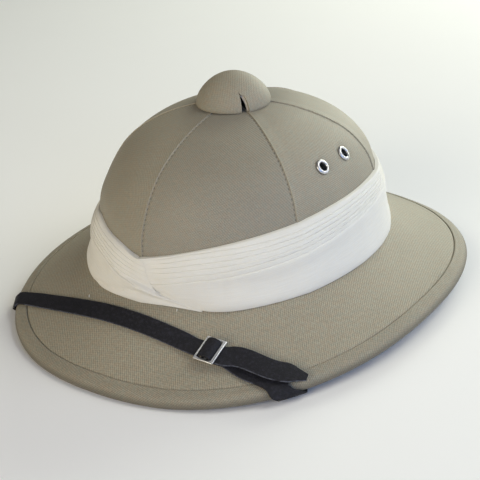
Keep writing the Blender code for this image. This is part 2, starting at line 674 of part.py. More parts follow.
def up_the_wall(side):
    """Stations round the opening's lower corner and up the crown's inside."""
    stand = WALL_CLEAR + STRAP_THICKNESS / 2.0
    bearing = math.radians(side * CORNER_BEARING)
    inward = polar(bearing, -1.0, 0.0)
    corner = polar(bearing, foot_radius(bearing) - CROWN_WALL, FOOT_HEIGHT - FOOT_THICKNESS)
    normal = (inward + Vector((0.0, 0.0, -0.6))).normalized()
    stations = [(corner + normal * (stand + 0.8 * MM), normal, contour(bearing, foot_radius))]
    for degrees, height in WALL_ROUTE:
        bearing = math.radians(side * degrees)
        sweep = crown_sweep(height * MM, CROWN_WALL)
        inward = -crown_normal(bearing, max(sweep, 0.02), CROWN_WALL)
        level = Vector((0.0, 0.0, 1.0)).cross(inward).normalized()
        stations.append((crown_point(bearing, sweep, CROWN_WALL) + inward * stand, inward, level))
    return stations


def buckle_place():
    """The buckle's own axes, from its place on the brim, its yaw, its tilt and its roll."""
    x, y = BUCKLE_PLACE
    normal = brim_normal(x, y)
    yaw = math.radians(BUCKLE_YAW)
    along = Vector((math.cos(yaw), math.sin(yaw), 0.0))
    along = (along - normal * along.dot(normal)).normalized()
    tilt = math.radians(BUCKLE_TILT)
    along, normal = (along * math.cos(tilt) + normal * math.sin(tilt),
                     normal * math.cos(tilt) - along * math.sin(tilt))
    across = Matrix.Rotation(math.radians(BUCKLE_ROLL), 3, along) @ normal.cross(along)
    point = Vector((x, y, brim_top_at(x, y))) + brim_normal(x, y) * BUCKLE_STANDS
    axes = Matrix((along, across, along.cross(across))).transposed()
    return Matrix.Translation(point) @ axes.to_4x4()


def through_buckle(route):
    """Stations given in the buckle's own axes."""
    place = buckle_place()
    stations = []
    for i, (along, away, width) in enumerate(route):
        before = Vector(route[max(i - 1, 0)][:2])
        after = Vector(route[min(i + 1, len(route) - 1)][:2])
        run = (after - before).normalized()
        point = place @ Vector((along * MM, 0.0, away * MM))
        normal = place.to_3x3() @ Vector((-run.y, 0.0, run.x))
        stations.append(station(point, normal, None, width * MM))
    return stations


def make_long_strap():
    """From the rivet inside the wearer's right, over the brim and buckle to the free tip."""
    hidden = round_the_rim(LONG_RIM) + under_brim(-1.0, LONG_RIM[1]) + up_the_wall(-1.0)
    stations = toward_square(hidden[::-1])
    rest = STRAP_CLEAR + STRAP_THICKNESS / 2.0
    for i in range(LONG_STEPS + 1):
        x = LONG_START + (LONG_STOP - LONG_START) * i / LONG_STEPS
        y = STRAP_FRONT_Y + STRAP_BEND * (x - STRAP_BEND_X) ** 2
        stations.append(over_brim(x, y, rest))
    stations += through_buckle(LONG_WEAVE)
    stations += [over_brim(x * MM, y * MM, height * MM, width * MM)
                 for x, y, height, width in TAIL_ROUTE]
    strap = strap_body("chin_strap_long", stations)
    drill(strap, rivet_place(-1.0), RIVET_SHANK + GAP, 3.0 * CROWN_WALL)


def make_short_strap():
    """From the buckle's middle bar over the brim's edge to the rivet inside the wearer's left."""
    rest = STRAP_CLEAR + STRAP_THICKNESS / 2.0
    stations = through_buckle(SHORT_HOOK[::-1])
    stations += [over_brim(x * MM, y * MM, rest) for x, y in SHORT_ROUTE]
    hidden = round_the_rim(SHORT_RIM) + under_brim(1.0, SHORT_RIM[1]) + up_the_wall(1.0)
    stations += toward_square(hidden)
    strap = strap_body("chin_strap_short", stations)
    drill(strap, rivet_place(1.0), RIVET_SHANK + GAP, 3.0 * CROWN_WALL)


def make_buckle():
    """Rectangular slide: a flat frame and a lower bar across its middle."""
    place = buckle_place()

    def block(name, size, centre):
        bm = bmesh.new()
        bmesh.ops.create_cube(bm, size=1.0)
        bmesh.ops.scale(bm, vec=size, verts=bm.verts)
        bmesh.ops.translate(bm, vec=centre, verts=bm.verts)
        piece = add_piece(name, bm, NICKEL)
        piece.matrix_basis = place
        return piece

    window = (BUCKLE_LENGTH - LEFT_BAR - RIGHT_BAR, BUCKLE_WIDTH - FRONT_BAR - BACK_BAR)
    middle = ((LEFT_BAR - RIGHT_BAR) / 2.0, (FRONT_BAR - BACK_BAR) / 2.0)
    frame = block("strap_buckle", (BUCKLE_LENGTH, BUCKLE_WIDTH, BUCKLE_THICKNESS), (0.0, 0.0, 0.0))
    hole = block("buckle_window", (window[0], window[1], 6.0 * MM), (middle[0], middle[1], 0.0))
    bar = block("buckle_middle_bar", (MIDDLE_BAR[0], window[1] + 1.4 * MM, MIDDLE_BAR[1]),
                (0.0, middle[1], -MIDDLE_BAR_DROP))
    add_boolean(frame, hole)
    add_boolean(frame, bar, "UNION")


def rivet_place(side):
    """Placement on the crown's inside whose Z axis looks into the head opening."""
    bearing = math.radians(side * RIVET_BEARING)
    sweep = crown_sweep(RIVET_HEIGHT, CROWN_WALL)
    return upright_frame(crown_point(bearing, sweep, CROWN_WALL),
                         -crown_normal(bearing, sweep, CROWN_WALL))


def make_rivets():
    """Plain rivets: a low domed head on the strap and a shank through the crown's wall."""
    seat = WALL_CLEAR + STRAP_THICKNESS + 0.9 * MM
    foot = -CROWN_WALL + 0.6 * MM
    profile = [(0.0, seat + 1.3 * MM), (RIVET_HEAD * 0.6, seat + 1.1 * MM),
               (RIVET_HEAD, seat + 0.3 * MM), (RIVET_HEAD, seat), (RIVET_SHANK, seat),
               (RIVET_SHANK, foot), (0.0, foot)]
    for name, side in (("strap_rivet_right", -1.0), ("strap_rivet_left", 1.0)):
        rivet = add_piece(name, spin_profile(profile, RIVET_SIDES), NICKEL)
        rivet.matrix_basis = rivet_place(side)


def main():
    for item in list(bpy.data.objects):
        bpy.data.objects.remove(item)
    helmet = bpy.data.objects.new("helmet", None)
    helmet.location = (0.0, (BRIM_FRONT - BRIM_BACK) / 2.0, 0.0)
    bpy.context.scene.collection.objects.link(helmet)
    make_brim()
    make_binding()
    make_crown()
    make_cap()
    make_eyelets()
    make_right_wrap()
    make_left_wrap()
    make_buckle()
    make_long_strap()
    make_short_strap()
    make_rivets()


main()
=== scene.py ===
"""Pith helmet, dressed: twill-covered crown and brim, wound puggaree, air cap and chin strap.

The shapes repeat the CAD's own rules. Every piece is worked out round the crown's upright axis,
which stands AXIS_Y from the frame's origin, and is then carried there. A bearing is an angle
round that axis: 0 at the front, positive towards the wearer's left.
"""

import math
from collections import namedtuple

import bmesh
import bpy
from mathutils import Matrix, Vector, noise


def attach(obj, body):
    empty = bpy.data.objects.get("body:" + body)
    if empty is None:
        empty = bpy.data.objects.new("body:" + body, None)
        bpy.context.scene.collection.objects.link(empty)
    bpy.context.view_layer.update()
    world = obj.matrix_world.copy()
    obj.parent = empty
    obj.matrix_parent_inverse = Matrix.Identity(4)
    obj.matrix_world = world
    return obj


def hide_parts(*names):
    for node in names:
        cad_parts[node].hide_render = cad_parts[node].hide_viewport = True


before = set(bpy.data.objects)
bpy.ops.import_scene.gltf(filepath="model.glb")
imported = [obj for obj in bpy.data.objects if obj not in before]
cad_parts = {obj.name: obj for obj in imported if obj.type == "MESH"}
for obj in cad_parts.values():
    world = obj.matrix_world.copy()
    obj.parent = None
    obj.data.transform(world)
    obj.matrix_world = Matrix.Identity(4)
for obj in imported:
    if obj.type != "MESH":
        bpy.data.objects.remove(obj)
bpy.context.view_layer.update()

MM = 0.001
GAP = 0.3 * MM

# ---------------------------------------------------------------- sizes, as in the CAD

BRIM_FRONT, BRIM_BACK, BRIM_HALF_WIDTH = 168.9 * MM, 171.1 * MM, 146.4 * MM
AXIS_Y = (BRIM_FRONT - BRIM_BACK) / 2.0
FRONT_POWER, BACK_POWER = 2.26, 2.18
SIDE_LIFT, RESTING_SHARE = 9.4 * MM, 0.08
EDGE_HEIGHT, FOOT_HEIGHT = 4.9 * MM, 38.0 * MM
STRAIGHT_SHARE = 0.83
BRIM_THICKNESS, FOOT_THICKNESS = 4.3 * MM, 4.6 * MM
BINDING_WIDTH, BINDING_WALL, BINDING_TOP = 9.0 * MM, 1.2 * MM, 1.0 * MM
BINDING_FLAT = (1.4 * MM, 3.6 * MM)  # its insets where it lies on the ground
BINDING_PLUMP = 0.35 * MM

CROWN_HALF_WIDTH, CROWN_HALF_LENGTH = 94.1 * MM, 110.3 * MM
CROWN_TOP, CROWN_WALL = 135.4 * MM, 4.0 * MM
ROUND_POWER, SHOULDER_POWER = 2.19, 2.76
SEAM_BEARINGS = (-115.0, -62.0, 0.0, 62.0, 115.0, 180.0)
GORE_EDGES = (-180.0,) + SEAM_BEARINGS
GORE_FLATNESS = 0.012
AIR_HOLE = 0.11

CAP_RADIUS, CAP_RISE, CAP_FOOT = 25.2 * MM, 20.7 * MM, 133.3 * MM
CAP_POWER, CAP_WALL = 1.76, 2.2 * MM
NOTCH_BEARING = 58.0

EYELET_HEIGHT = 104.0 * MM
EYELET_BEARINGS = {"eyelet_left_front": 81.4, "eyelet_left_back": 98.0,
                   "eyelet_right_front": -81.4, "eyelet_right_back": -98.0}
EYELET_BARREL = 3.3 * MM

# the puggaree's distances out from the crown: its inside, the right wrap where the left one lies
# on it, and the left wrap's face
PUGGAREE_CLEAR, UNDER_DEPTH, LEFT_DEPTH = 0.5 * MM, 2.6 * MM, 6.0 * MM
# upper edges. columns: bearing, height (mm)
RIGHT_TOP = ((0.0, 65.8), (6.0, 67.5), (14.0, 70.0), (20.0, 71.9), (29.5, 74.4), (38.0, 76.4),
             (46.7, 78.2), (56.0, 79.8), (67.0, 81.3), (78.0, 82.2), (88.0, 82.5), (99.0, 82.6),
             (111.0, 82.0), (128.0, 80.0), (180.0, 78.5))
# its end, hidden under the left wrap
HIDDEN_TOP = ((-7.0, 57.0), (-2.6, 61.5), (-1.2, 65.0), (0.0, 65.8))
LEFT_TOP = ((-180.0, 78.5), (-130.0, 76.0), (-80.0, 70.8), (-61.0, 69.8), (-53.0, 70.4),
            (-46.0, 72.3), (-40.0, 74.3), (-36.0, 75.1), (-31.0, 74.4), (-26.0, 72.9), (-20.5, 71.6),
            (-12.0, 69.6), (-4.6, 66.6), (0.0, 65.3), (6.0, 63.5))
# the right wrap's face. columns: bearing, distance out (mm)
RIGHT_DEPTH = ((38.0, 5.4), (70.0, 5.0), (100.0, 3.7), (180.0, 3.7))
# the lower edges, which flare over the brim. columns: bearing, distance out (mm)
RIGHT_FOOT = ((24.6, 6.2), (29.0, 7.2), (35.0, 7.7), (44.0, 7.1), (51.0, 6.5), (60.0, 5.8),
              (76.0, 5.5), (98.0, 5.5), (120.0, 5.0), (180.0, 5.0))
LEFT_FOOT = ((-180.0, 6.0), (-100.0, 6.6), (-60.0, 8.4), (-41.0, 9.2), (-27.0, 8.3), (-17.0, 6.7),
             (-8.0, 5.2), (2.0, 4.0), (10.0, 3.8), (17.0, 4.5), (24.6, 6.2))
RIGHT_WRAP, LEFT_WRAP = (-7.0, 179.85), (-179.85, 24.6)

STRAP_WIDTH, STRAP_THICKNESS = 12.2 * MM, 1.4 * MM
STRAP_CLEAR, WALL_CLEAR = 0.5 * MM, 1.0 * MM
STRAP_FRONT_Y, STRAP_BEND_X, STRAP_BEND = -125.3 * MM, 17.0 * MM, 0.70
LONG_START, LONG_STOP, LONG_STEPS = -93.0 * MM, 40.0 * MM, 12
# bearings between which each end goes round the brim's edge
LONG_RIM, SHORT_RIM = (-43.0, -48.0), (40.2, 46.0)
# under the brim. columns: share of the way round to the opening, share of the way in
UNDER_ROUTE = ((0.14, 0.20), (0.30, 0.31), (0.48, 0.45), (0.64, 0.62), (0.80, 0.80), (1.0, 0.97))
OPENING_BEARING, CORNER_BEARING = 67.0, 69.5
# up the crown's inner wall. columns: bearing, height (mm)
WALL_ROUTE = ((74.0, 38.6), (77.0, 44.0), (79.5, 50.0), (81.5, 55.0), (82.7, 58.0))
RIVET_BEARING, RIVET_HEIGHT = 80.0, 51.0 * MM
RIVET_SHANK = 1.5 * MM

BUCKLE_PLACE, BUCKLE_STANDS = (60.4 * MM, -123.6 * MM), 4.6 * MM
BUCKLE_YAW, BUCKLE_TILT, BUCKLE_ROLL = 1.5, 6.9, -5.6
BUCKLE_LENGTH, BUCKLE_WIDTH = 13.8 * MM, 18.4 * MM
LEFT_BAR, RIGHT_BAR, FRONT_BAR, BACK_BAR = 1.1 * MM, 2.1 * MM, 1.9 * MM, 1.4 * MM
BUCKLE_THICKNESS = 1.2 * MM
MIDDLE_BAR, MIDDLE_BAR_DROP = (1.8 * MM, 1.4 * MM), 0.9 * MM
# the long end through the buckle. columns: along, away from the brim, width (mm)
LONG_WEAVE = ((-13.0, -1.5, 12.2), (-9.0, -1.6, 12.2), (-7.4, -1.65, 12.6), (-5.9, -1.6, 13.4),
              (-5.0, -1.0, 14.0), (-4.6, 0.2, 14.2), (-3.9, 1.6, 14.4), (-2.3, 2.6, 14.4),
              (0.0, 2.85, 14.4), (2.0, 2.6, 14.4), (3.2, 1.7, 14.4), (3.7, 0.2, 14.2),
              (4.0, -1.0, 14.0), (4.9, -1.6, 14.0), (6.7, -1.65, 14.0), (9.5, -1.8, 14.0))
# the short end, hooked round the middle bar. columns: as above
SHORT_HOOK = ((12.0, -4.2, 12.2), (6.5, -3.65, 12.4), (3.0, -3.1, 12.8), (1.0, -2.75, 13.0),
              (-0.9, -2.68, 13.0), (-1.7, -2.4, 13.0), (-2.05, -1.6, 13.0), (-2.05, -0.2, 13.0),
              (-1.7, 0.6, 13.0), (-0.9, 0.9, 13.0), (0.0, 0.9, 13.0), (1.2, 0.8, 13.0))
# the long end's tail. columns: across, forward, height over the brim, width (mm)
TAIL_ROUTE = ((76.0, -119.4, 4.0, 14.0), (83.0, -117.6, 4.2, 14.0), (91.0, -116.7, 4.2, 14.0),
              (99.0, -115.4, 4.2, 14.0), (107.6, -112.2, 4.2, 13.7), (112.6, -110.5, 4.2, 9.6),
              (118.4, -108.6, 4.2, 4.9))
# the short end on the brim. columns: across, forward (mm)
SHORT_ROUTE = ((78.0, -122.7), (87.0, -122.9))

# ---------------------------------------------------------------- sizes of the dress

# the puggaree's folds. columns: bearing, height (mm)
RIGHT_FOLD = ((-7, 47.0), (5, 50.0), (12, 52.8), (21, 55.0), (30, 56.3), (40, 58.3), (61, 62.8),
              (80, 66.6), (104, 69.3), (140, 70.0), (180, 70.5))
LEFT_FOLD = ((-180, 70.5), (-110, 68.0), (-70, 63.5), (-45, 60.4), (-34.0, 60.6), (-28.0, 59.6),
             (-22.0, 58.0), (-18.0, 55.9), (-14.0, 53.4), (-9.0, 50.9), (-4.3, 49.1), (2.6, 46.4),
             (5.4, 44.7), (10.5, 42.2), (16.5, 39.5), (20.3, 37.7), (24.6, 35.9))
# where the left wrap's pleats are cut off by the crossing
LEFT_CUT = ((0.2, 67.0), (1.4, 65.4), (2.3, 63.2), (2.8, 60.6), (3.2, 57.0), (3.7, 53.8),
            (4.8, 50.2), (6.4, 46.4), (8.4, 44.2), (10.5, 42.9), (16.5, 40.0), (20.3, 38.2),
            (24.6, 36.2))
# a pleat's line as a share of the way from the fold to the upper edge: in front, at the side
RIGHT_LINES = ((0.0, 0.0), (0.22, 0.16), (0.42, 0.32), (0.61, 0.48), (0.78, 0.64), (0.92, 0.80),
               (1.0, 1.0))
LEFT_LINES = ((0.0, 0.0), (0.17, 0.17), (0.34, 0.34), (0.50, 0.50), (0.66, 0.66), (0.82, 0.80),
              (1.0, 1.0))
PLEATS = 6
PLEAT_STEP = 0.48 * MM
# one pleat. columns: share of its height, share of the step it lies back
PLEAT_SHAPE = ((0.0, 1.3), (0.045, 1.6), (0.1, 0.95), (0.2, 0.66), (0.38, 0.42), (0.6, 0.2),
               (0.8, 0.06), (0.93, 0.0), (0.985, 0.12))
# the plain band below the pleats. columns: share of its height, how far it lies back (mm)
BAND_SHAPE = ((0.0, 0.8), (0.015, 0.3), (0.04, 0.05), (0.08, -0.1), (0.14, -0.25), (0.23, -0.3),
              (0.34, -0.12), (0.46, 0.2), (0.58, 0.42), (0.69, 0.45), (0.79, 0.3), (0.87, 0.1),
              (0.93, -0.05), (0.97, -0.08), (0.99, 0.05))

STITCH_PITCH = 3.3 * MM
WALE = 1.25 * MM                    # width of one twill rib

# ---------------------------------------------------------------- shapes as formulas


def ease(value, low, high):
    """0 at the low value, 1 at the high one, smooth between."""
    share = min(1.0, max(0.0, (value - low) / (high - low)))
    return share * share * (3.0 - 2.0 * share)


def mix(a, b, share):
    """A value from a to b."""
    return a + (b - a) * share


def bell(value, middle, width):
    """1 at the middle, falling off smoothly over the width."""
    return math.exp(-((value - middle) / width) ** 2)


def read_table(table, key):
    """Second column of a table at a value of its first, on a smooth line through its rows."""
    if key <= table[0][0]:
        return table[0][1]
    if key >= table[-1][0]:
        return table[-1][1]
    k = next(i for i in range(1, len(table)) if key <= table[i][0])
    (x0, y0), (x1, y1) = table[k - 1][:2], table[k][:2]
    before = table[max(k - 2, 0)]
    after = table[min(k + 1, len(table) - 1)]
    width = x1 - x0
    slope0 = (y1 - before[1]) / (x1 - before[0]) * width
    slope1 = (after[1] - y0) / (after[0] - x0) * width
    t = (key - x0) / width
    return (y0 * (1 + 2 * t) * (1 - t) ** 2 + slope0 * t * (1 - t) ** 2
            + y1 * t * t * (3 - 2 * t) + slope1 * t * t * (t - 1))


def polar(bearing, radius, height):
    """Point at a bearing, in radians, round the crown's axis."""
    return Vector((radius * math.sin(bearing), -radius * math.cos(bearing), height))


def wrapped(bearing):
    """A bearing in degrees, from -180 to 180."""
    return (math.degrees(bearing) + 180.0) % 360.0 - 180.0


def rim_radius(bearing):
    """The brim's outline."""
    at_front = math.cos(bearing) > 0.0
    reach = BRIM_FRONT if at_front else BRIM_BACK
    power = FRONT_POWER if at_front else BACK_POWER
    across = abs(math.sin(bearing)) / BRIM_HALF_WIDTH
    along = abs(math.cos(bearing)) / reach
    return (across ** power + along ** power) ** (-1.0 / power)


def foot_radius(bearing):
    """The crown's outline at its foot."""
    return 1.0 / math.hypot(math.sin(bearing) / CROWN_HALF_WIDTH,
                            math.cos(bearing) / CROWN_HALF_LENGTH)


def rim_lift(bearing):
    """How far the brim's edge stands off the ground."""
    reach = BRIM_FRONT if math.cos(bearing) > 0.0 else BRIM_BACK
    forward = rim_radius(bearing) * math.cos(bearing) / reach
    share = 1.0 - forward * forward - RESTING_SHARE
    return SIDE_LIFT * max(0.0, share) / (1.0 - RESTING_SHARE)


def brim_top(bearing, radius):
    """Height of the brim's upper side."""
    rim = rim_radius(bearing)
    climb = (rim - radius) / (rim - foot_radius(bearing))
    edge = rim_lift(bearing) + EDGE_HEIGHT
    return edge + (FOOT_HEIGHT - edge) * climb * (STRAIGHT_SHARE + (1.0 - STRAIGHT_SHARE) * climb)


def brim_top_at(x, y):
    """Height of the brim's upper side over a point of its plan."""
    return brim_top(math.atan2(x, -y), math.hypot(x, y))


def brim_normal(x, y):
    """Direction away from the brim's upper side."""
    step = 1.0 * MM
    slope_x = (brim_top_at(x + step, y) - brim_top_at(x - step, y)) / (2.0 * step)
    slope_y = (brim_top_at(x, y + step) - brim_top_at(x, y - step)) / (2.0 * step)
    return Vector((-slope_x, -slope_y, 1.0)).normalized()


def gore_factor(bearing):
    """How much a gore flattens the crown's round outline."""
    degrees = wrapped(bearing)
    for low, high in zip(GORE_EDGES, GORE_EDGES[1:]):
        if degrees <= high + 1e-9:
            across = 2.0 * (degrees - low) / (high - low) - 1.0
            return 1.0 - GORE_FLATNESS * (1.0 - across * across)
    return 1.0


def crown_point(bearing, sweep, inset=0.0):
    """Point of the crown at a sweep of 0 at its foot and 90 degrees at its top."""
    ring = gore_factor(bearing) * math.cos(sweep) ** (2.0 / ROUND_POWER)
    rise = CROWN_TOP - inset - FOOT_HEIGHT - GAP
    return Vector(((CROWN_HALF_WIDTH - inset) * ring * math.sin(bearing),
                   -(CROWN_HALF_LENGTH - inset) * ring * math.cos(bearing),
                   FOOT_HEIGHT + GAP + rise * math.sin(sweep) ** (2.0 / SHOULDER_POWER)))


def crown_sweep(height, inset=0.0):
    """Sweep at which the crown has a height."""
    rise = CROWN_TOP - inset - FOOT_HEIGHT - GAP
    share = max(0.0, (height - FOOT_HEIGHT - GAP) / rise)
    return math.asin(min(1.0, share ** (SHOULDER_POWER / 2.0)))


def crown_outside(bearing, height, offset):
    """Point at a height, moved level away from the crown."""
    ring = gore_factor(bearing) * math.cos(crown_sweep(height)) ** (2.0 / ROUND_POWER)
    return Vector(((CROWN_HALF_WIDTH * ring + offset) * math.sin(bearing),
                   -(CROWN_HALF_LENGTH * ring + offset) * math.cos(bearing), height))


def crown_normal(bearing, sweep, inset=0.0):
    """Direction out from the crown."""
    step = 0.01
    level = crown_point(bearing + step, sweep, inset) - crown_point(bearing - step, sweep, inset)
    low, high = max(sweep - step, 0.002), sweep + step
    upward = crown_point(bearing, high, inset) - crown_point(bearing, low, inset)
    return level.cross(upward).normalized()


def crown_height(x, y):
    """Height of the crown over a point of its plan."""
    bearing = math.atan2(x / CROWN_HALF_WIDTH, -y / CROWN_HALF_LENGTH)
    ring = math.hypot(x / CROWN_HALF_WIDTH, y / CROWN_HALF_LENGTH) / gore_factor(bearing)
    rise = CROWN_TOP - FOOT_HEIGHT - GAP
    return FOOT_HEIGHT + GAP + rise * (1.0 - ring ** ROUND_POWER) ** (1.0 / SHOULDER_POWER)


def upright_frame(point, normal):
    """Placement whose Z axis is the normal and whose X axis is level."""
    level = Vector((0.0, 0.0, 1.0)).cross(normal).normalized()
    axes = Matrix((level, normal.cross(level), normal)).transposed()
    return Matrix.Translation(point) @ axes.to_4x4()


# ---------------------------------------------------------------- building blocks


MERGE = 0.002 * MM                  # points of a bent grid closer than this are one


def bent_grid(columns, rows, place, patterns=None):
    """A flat grid bent to shape. place gives the point of a column and row; patterns gives,
    for each UV map, the pattern's point from the column, the row and the face's own column."""
    bm = bmesh.new()
    bmesh.ops.create_grid(bm, x_segments=columns, y_segments=rows, size=0.5)
    spots = {vert: (round((vert.co.x + 0.5) * columns), round((vert.co.y + 0.5) * rows))
             for vert in bm.verts}
    for name, rule in (patterns or {}).items():
        layer = bm.loops.layers.uv.new(name)
        for face in bm.faces:
            first = min(spots[vert][0] for vert in face.verts)
            for loop in face.loops:
                column, row = spots[loop.vert]
                loop[layer].uv = rule(column, row, first)
    for vert, (column, row) in spots.items():
        vert.co = place(column, row)
    bmesh.ops.remove_doubles(bm, verts=bm.verts, dist=MERGE)
    return bm


def lengths_along(points):
    """Length along a row of points, up to each one."""
    lengths = [0.0]
    for here, following in zip(points, points[1:]):
        lengths.append(lengths[-1] + (following - here).length)
    return lengths


def add_bead(bm, place, size, sides, rings):
    """Adds an egg-shaped bead. size: half its length on each axis."""
    made = bmesh.ops.create_uvsphere(bm, u_segments=sides, v_segments=rings, radius=1.0)
    bmesh.ops.transform(bm, matrix=place @ Matrix.Diagonal(size + (1.0,)), verts=made["verts"])


def close_ends(bm):
    """Fills the open ends of a tube."""
    loops = [edge for edge in bm.edges if edge.is_boundary]
    bmesh.ops.holes_fill(bm, edges=loops, sides=0)


def object_from(name, bm):
    """Object whose mesh is a bmesh."""
    mesh = bpy.data.meshes.new(name)
    bm.to_mesh(mesh)
    bm.free()
    made = bpy.data.objects.new(name, mesh)
    bpy.context.scene.collection.objects.link(made)
    return made


def add_piece(name, bm, material, replaces=(), sharp=50.0, place=None):
    """Object from a bmesh, carried from the crown's axis to the frame."""
    if place is not None:
        bmesh.ops.transform(bm, matrix=place, verts=bm.verts)
    bmesh.ops.translate(bm, vec=(0.0, AXIS_Y, 0.0), verts=bm.verts)
    bmesh.ops.recalc_face_normals(bm, faces=bm.faces)
    piece = object_from(name, bm)
    piece.data.shade_smooth()
    piece.data.set_sharp_from_angle(angle=math.radians(sharp))
    piece.data.materials.append(material)
    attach(piece, "root")
    if replaces:
        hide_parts(*replaces)
    return piece


def turn_profile(profile, sides):
    """Bmesh turned round the Z axis from (radius, height) points."""
    bm = bmesh.new()
    verts = [bm.verts.new((radius, 0.0, height)) for radius, height in profile]
    edges = [bm.edges.new(pair) for pair in zip(verts, verts[1:])]
    bmesh.ops.spin(bm, geom=verts + edges, cent=(0.0, 0.0, 0.0), axis=(0.0, 0.0, 1.0),
                   angle=math.tau, steps=sides, use_merge=True, use_duplicate=False)
    bmesh.ops.remove_doubles(bm, verts=bm.verts, dist=0.005 * MM)
    return bm


def smooth_line(points, steps):
    """More points on a smooth curve through the given ones, each a tuple of vectors."""
    line = []
    last = len(points) - 1
    for i in range(last):
        four = [points[max(0, min(last, i + k))] for k in (-1, 0, 1, 2)]
        for s in range(steps):
            t = s / steps
            weights = (-0.5 * t + t * t - 0.5 * t ** 3, 1 - 2.5 * t * t + 1.5 * t ** 3,
                       0.5 * t + 2 * t * t - 1.5 * t ** 3, -0.5 * t * t + 0.5 * t ** 3)
            line.append(tuple(sum((part * w for part, w in zip(parts, weights)), Vector())
                              for parts in zip(*four)))
    line.append(points[-1])
    return line


def cut_with(piece, bm):
    """Cuts a shape out of a piece and leaves the result as its mesh."""
    bmesh.ops.translate(bm, vec=(0.0, AXIS_Y, 0.0), verts=bm.verts)
    bmesh.ops.recalc_face_normals(bm, faces=bm.faces)
    cutter = object_from("cutter", bm)
    cut = piece.modifiers.new("cut", "BOOLEAN")
    cut.object = cutter
    cut.operation = "DIFFERENCE"
    cut.solver = "EXACT"
    bpy.context.view_layer.update()
    graph = bpy.context.evaluated_depsgraph_get()
    made = bpy.data.meshes.new_from_object(piece.evaluated_get(graph))
    piece.modifiers.clear()
    whole = piece.data
    piece.data = made
    bpy.data.meshes.remove(whole)
    made.name = piece.name
    spare = cutter.data
    bpy.data.objects.remove(cutter)
    bpy.data.meshes.remove(spare)


# ---------------------------------------------------------------- finishes: building shaders


class Field:
    """A value, colour or place that varies over a surface. Arithmetic on it adds Math nodes."""

    def __init__(self, socket):
        self.socket = socket
        self.tree = socket.id_data

    def maths(self, operation, *others):
        terms = dict(enumerate((self,) + others))
        return Field(put(self.tree, "ShaderNodeMath", terms, operation=operation).outputs[0])

    def __add__(self, other):
        return self.maths("ADD", other)

    def __sub__(self, other):
        return self.maths("SUBTRACT", other)

    def __mul__(self, other):
        return self.maths("MULTIPLY", other)

    def __truediv__(self, other):
        return self.maths("DIVIDE", other)

    def vector(self, operation, *others):
        terms = dict(enumerate((self,) + others))
        made = put(self.tree, "ShaderNodeVectorMath", terms, operation=operation)
        return Field(made.outputs["Value" if operation == "LENGTH" else "Vector"])

    def split(self):
        """Its X, Y and Z."""
        return [Field(part) for part in put(self.tree, "ShaderNodeSeparateXYZ", {0: self}).outputs]

    def ramp(self, low, high, to_low=0.0, to_high=1.0, smooth=True):
        """The value moved from one range to another, held inside it."""
        made = put(self.tree, "ShaderNodeMapRange", {"Value": self, "From Min": low, "From Max": high,
                                                     "To Min": to_low, "To Max": to_high},
                   interpolation_type="SMOOTHSTEP" if smooth else "LINEAR")
        return Field(made.outputs[0])

    def scaled(self, scale, turn=0.0):
        """The place scaled on each axis, after a turn about Z in degrees."""
        return Field(put(self.tree, "ShaderNodeMapping", {
            "Vector": self, "Scale": scale, "Rotation": (0.0, 0.0, math.radians(turn))}).outputs[0])

    def noise(self, scale, detail=2.0, roughness=0.5):
        return Field(put(self.tree, "ShaderNodeTexNoise", {
            "Vector": self, "Scale": scale, "Detail": detail, "Roughness": roughness}).outputs["Fac"])


def put(tree, kind, inputs=None, **settings):
    """A node with its settings and its inputs: a field is linked, a plain value is set."""
    made = tree.nodes.new(kind)
    for name, value in settings.items():
        setattr(made, name, value)
    for name, value in (inputs or {}).items():
        if isinstance(value, Field):
            tree.links.new(value.socket, made.inputs[name])
        else:
            made.inputs[name].default_value = value
    return made


def blend_colour(share, first, second, blend="MIX"):
    """Two colours blended. At least one of the share and the colours is a field."""
    tree = next(part.tree for part in (share, first, second) if isinstance(part, Field))
    made = put(tree, "ShaderNodeMix", {0: share, 6: first, 7: second},
               data_type="RGBA", blend_type=blend, clamp_factor=True)
    return Field(made.outputs[2])


def effect_group(name, inputs, outputs):
    """An empty shader group. inputs: name -> (kind, default); outputs: name -> kind."""
    group = bpy.data.node_groups.new(name, "ShaderNodeTree")
    for title, (kind, default) in inputs.items():
        socket = group.interface.new_socket(title, in_out="INPUT", socket_type=f"NodeSocket{kind}")
        if default is not None:
            socket.default_value = default
    for title, kind in outputs.items():
        group.interface.new_socket(title, in_out="OUTPUT", socket_type=f"NodeSocket{kind}")
    sockets = group.nodes.new("NodeGroupInput").outputs
    taken = {title: Field(sockets[title]) for title in inputs}
    return group, taken, group.nodes.new("NodeGroupOutput").inputs


def give(given, results):
    """Links a group's results to its outputs."""
    for title, field in results.items():
        field.tree.links.new(field.socket, given[title])


# ---------------------------------------------------------------- finishes: shared effects


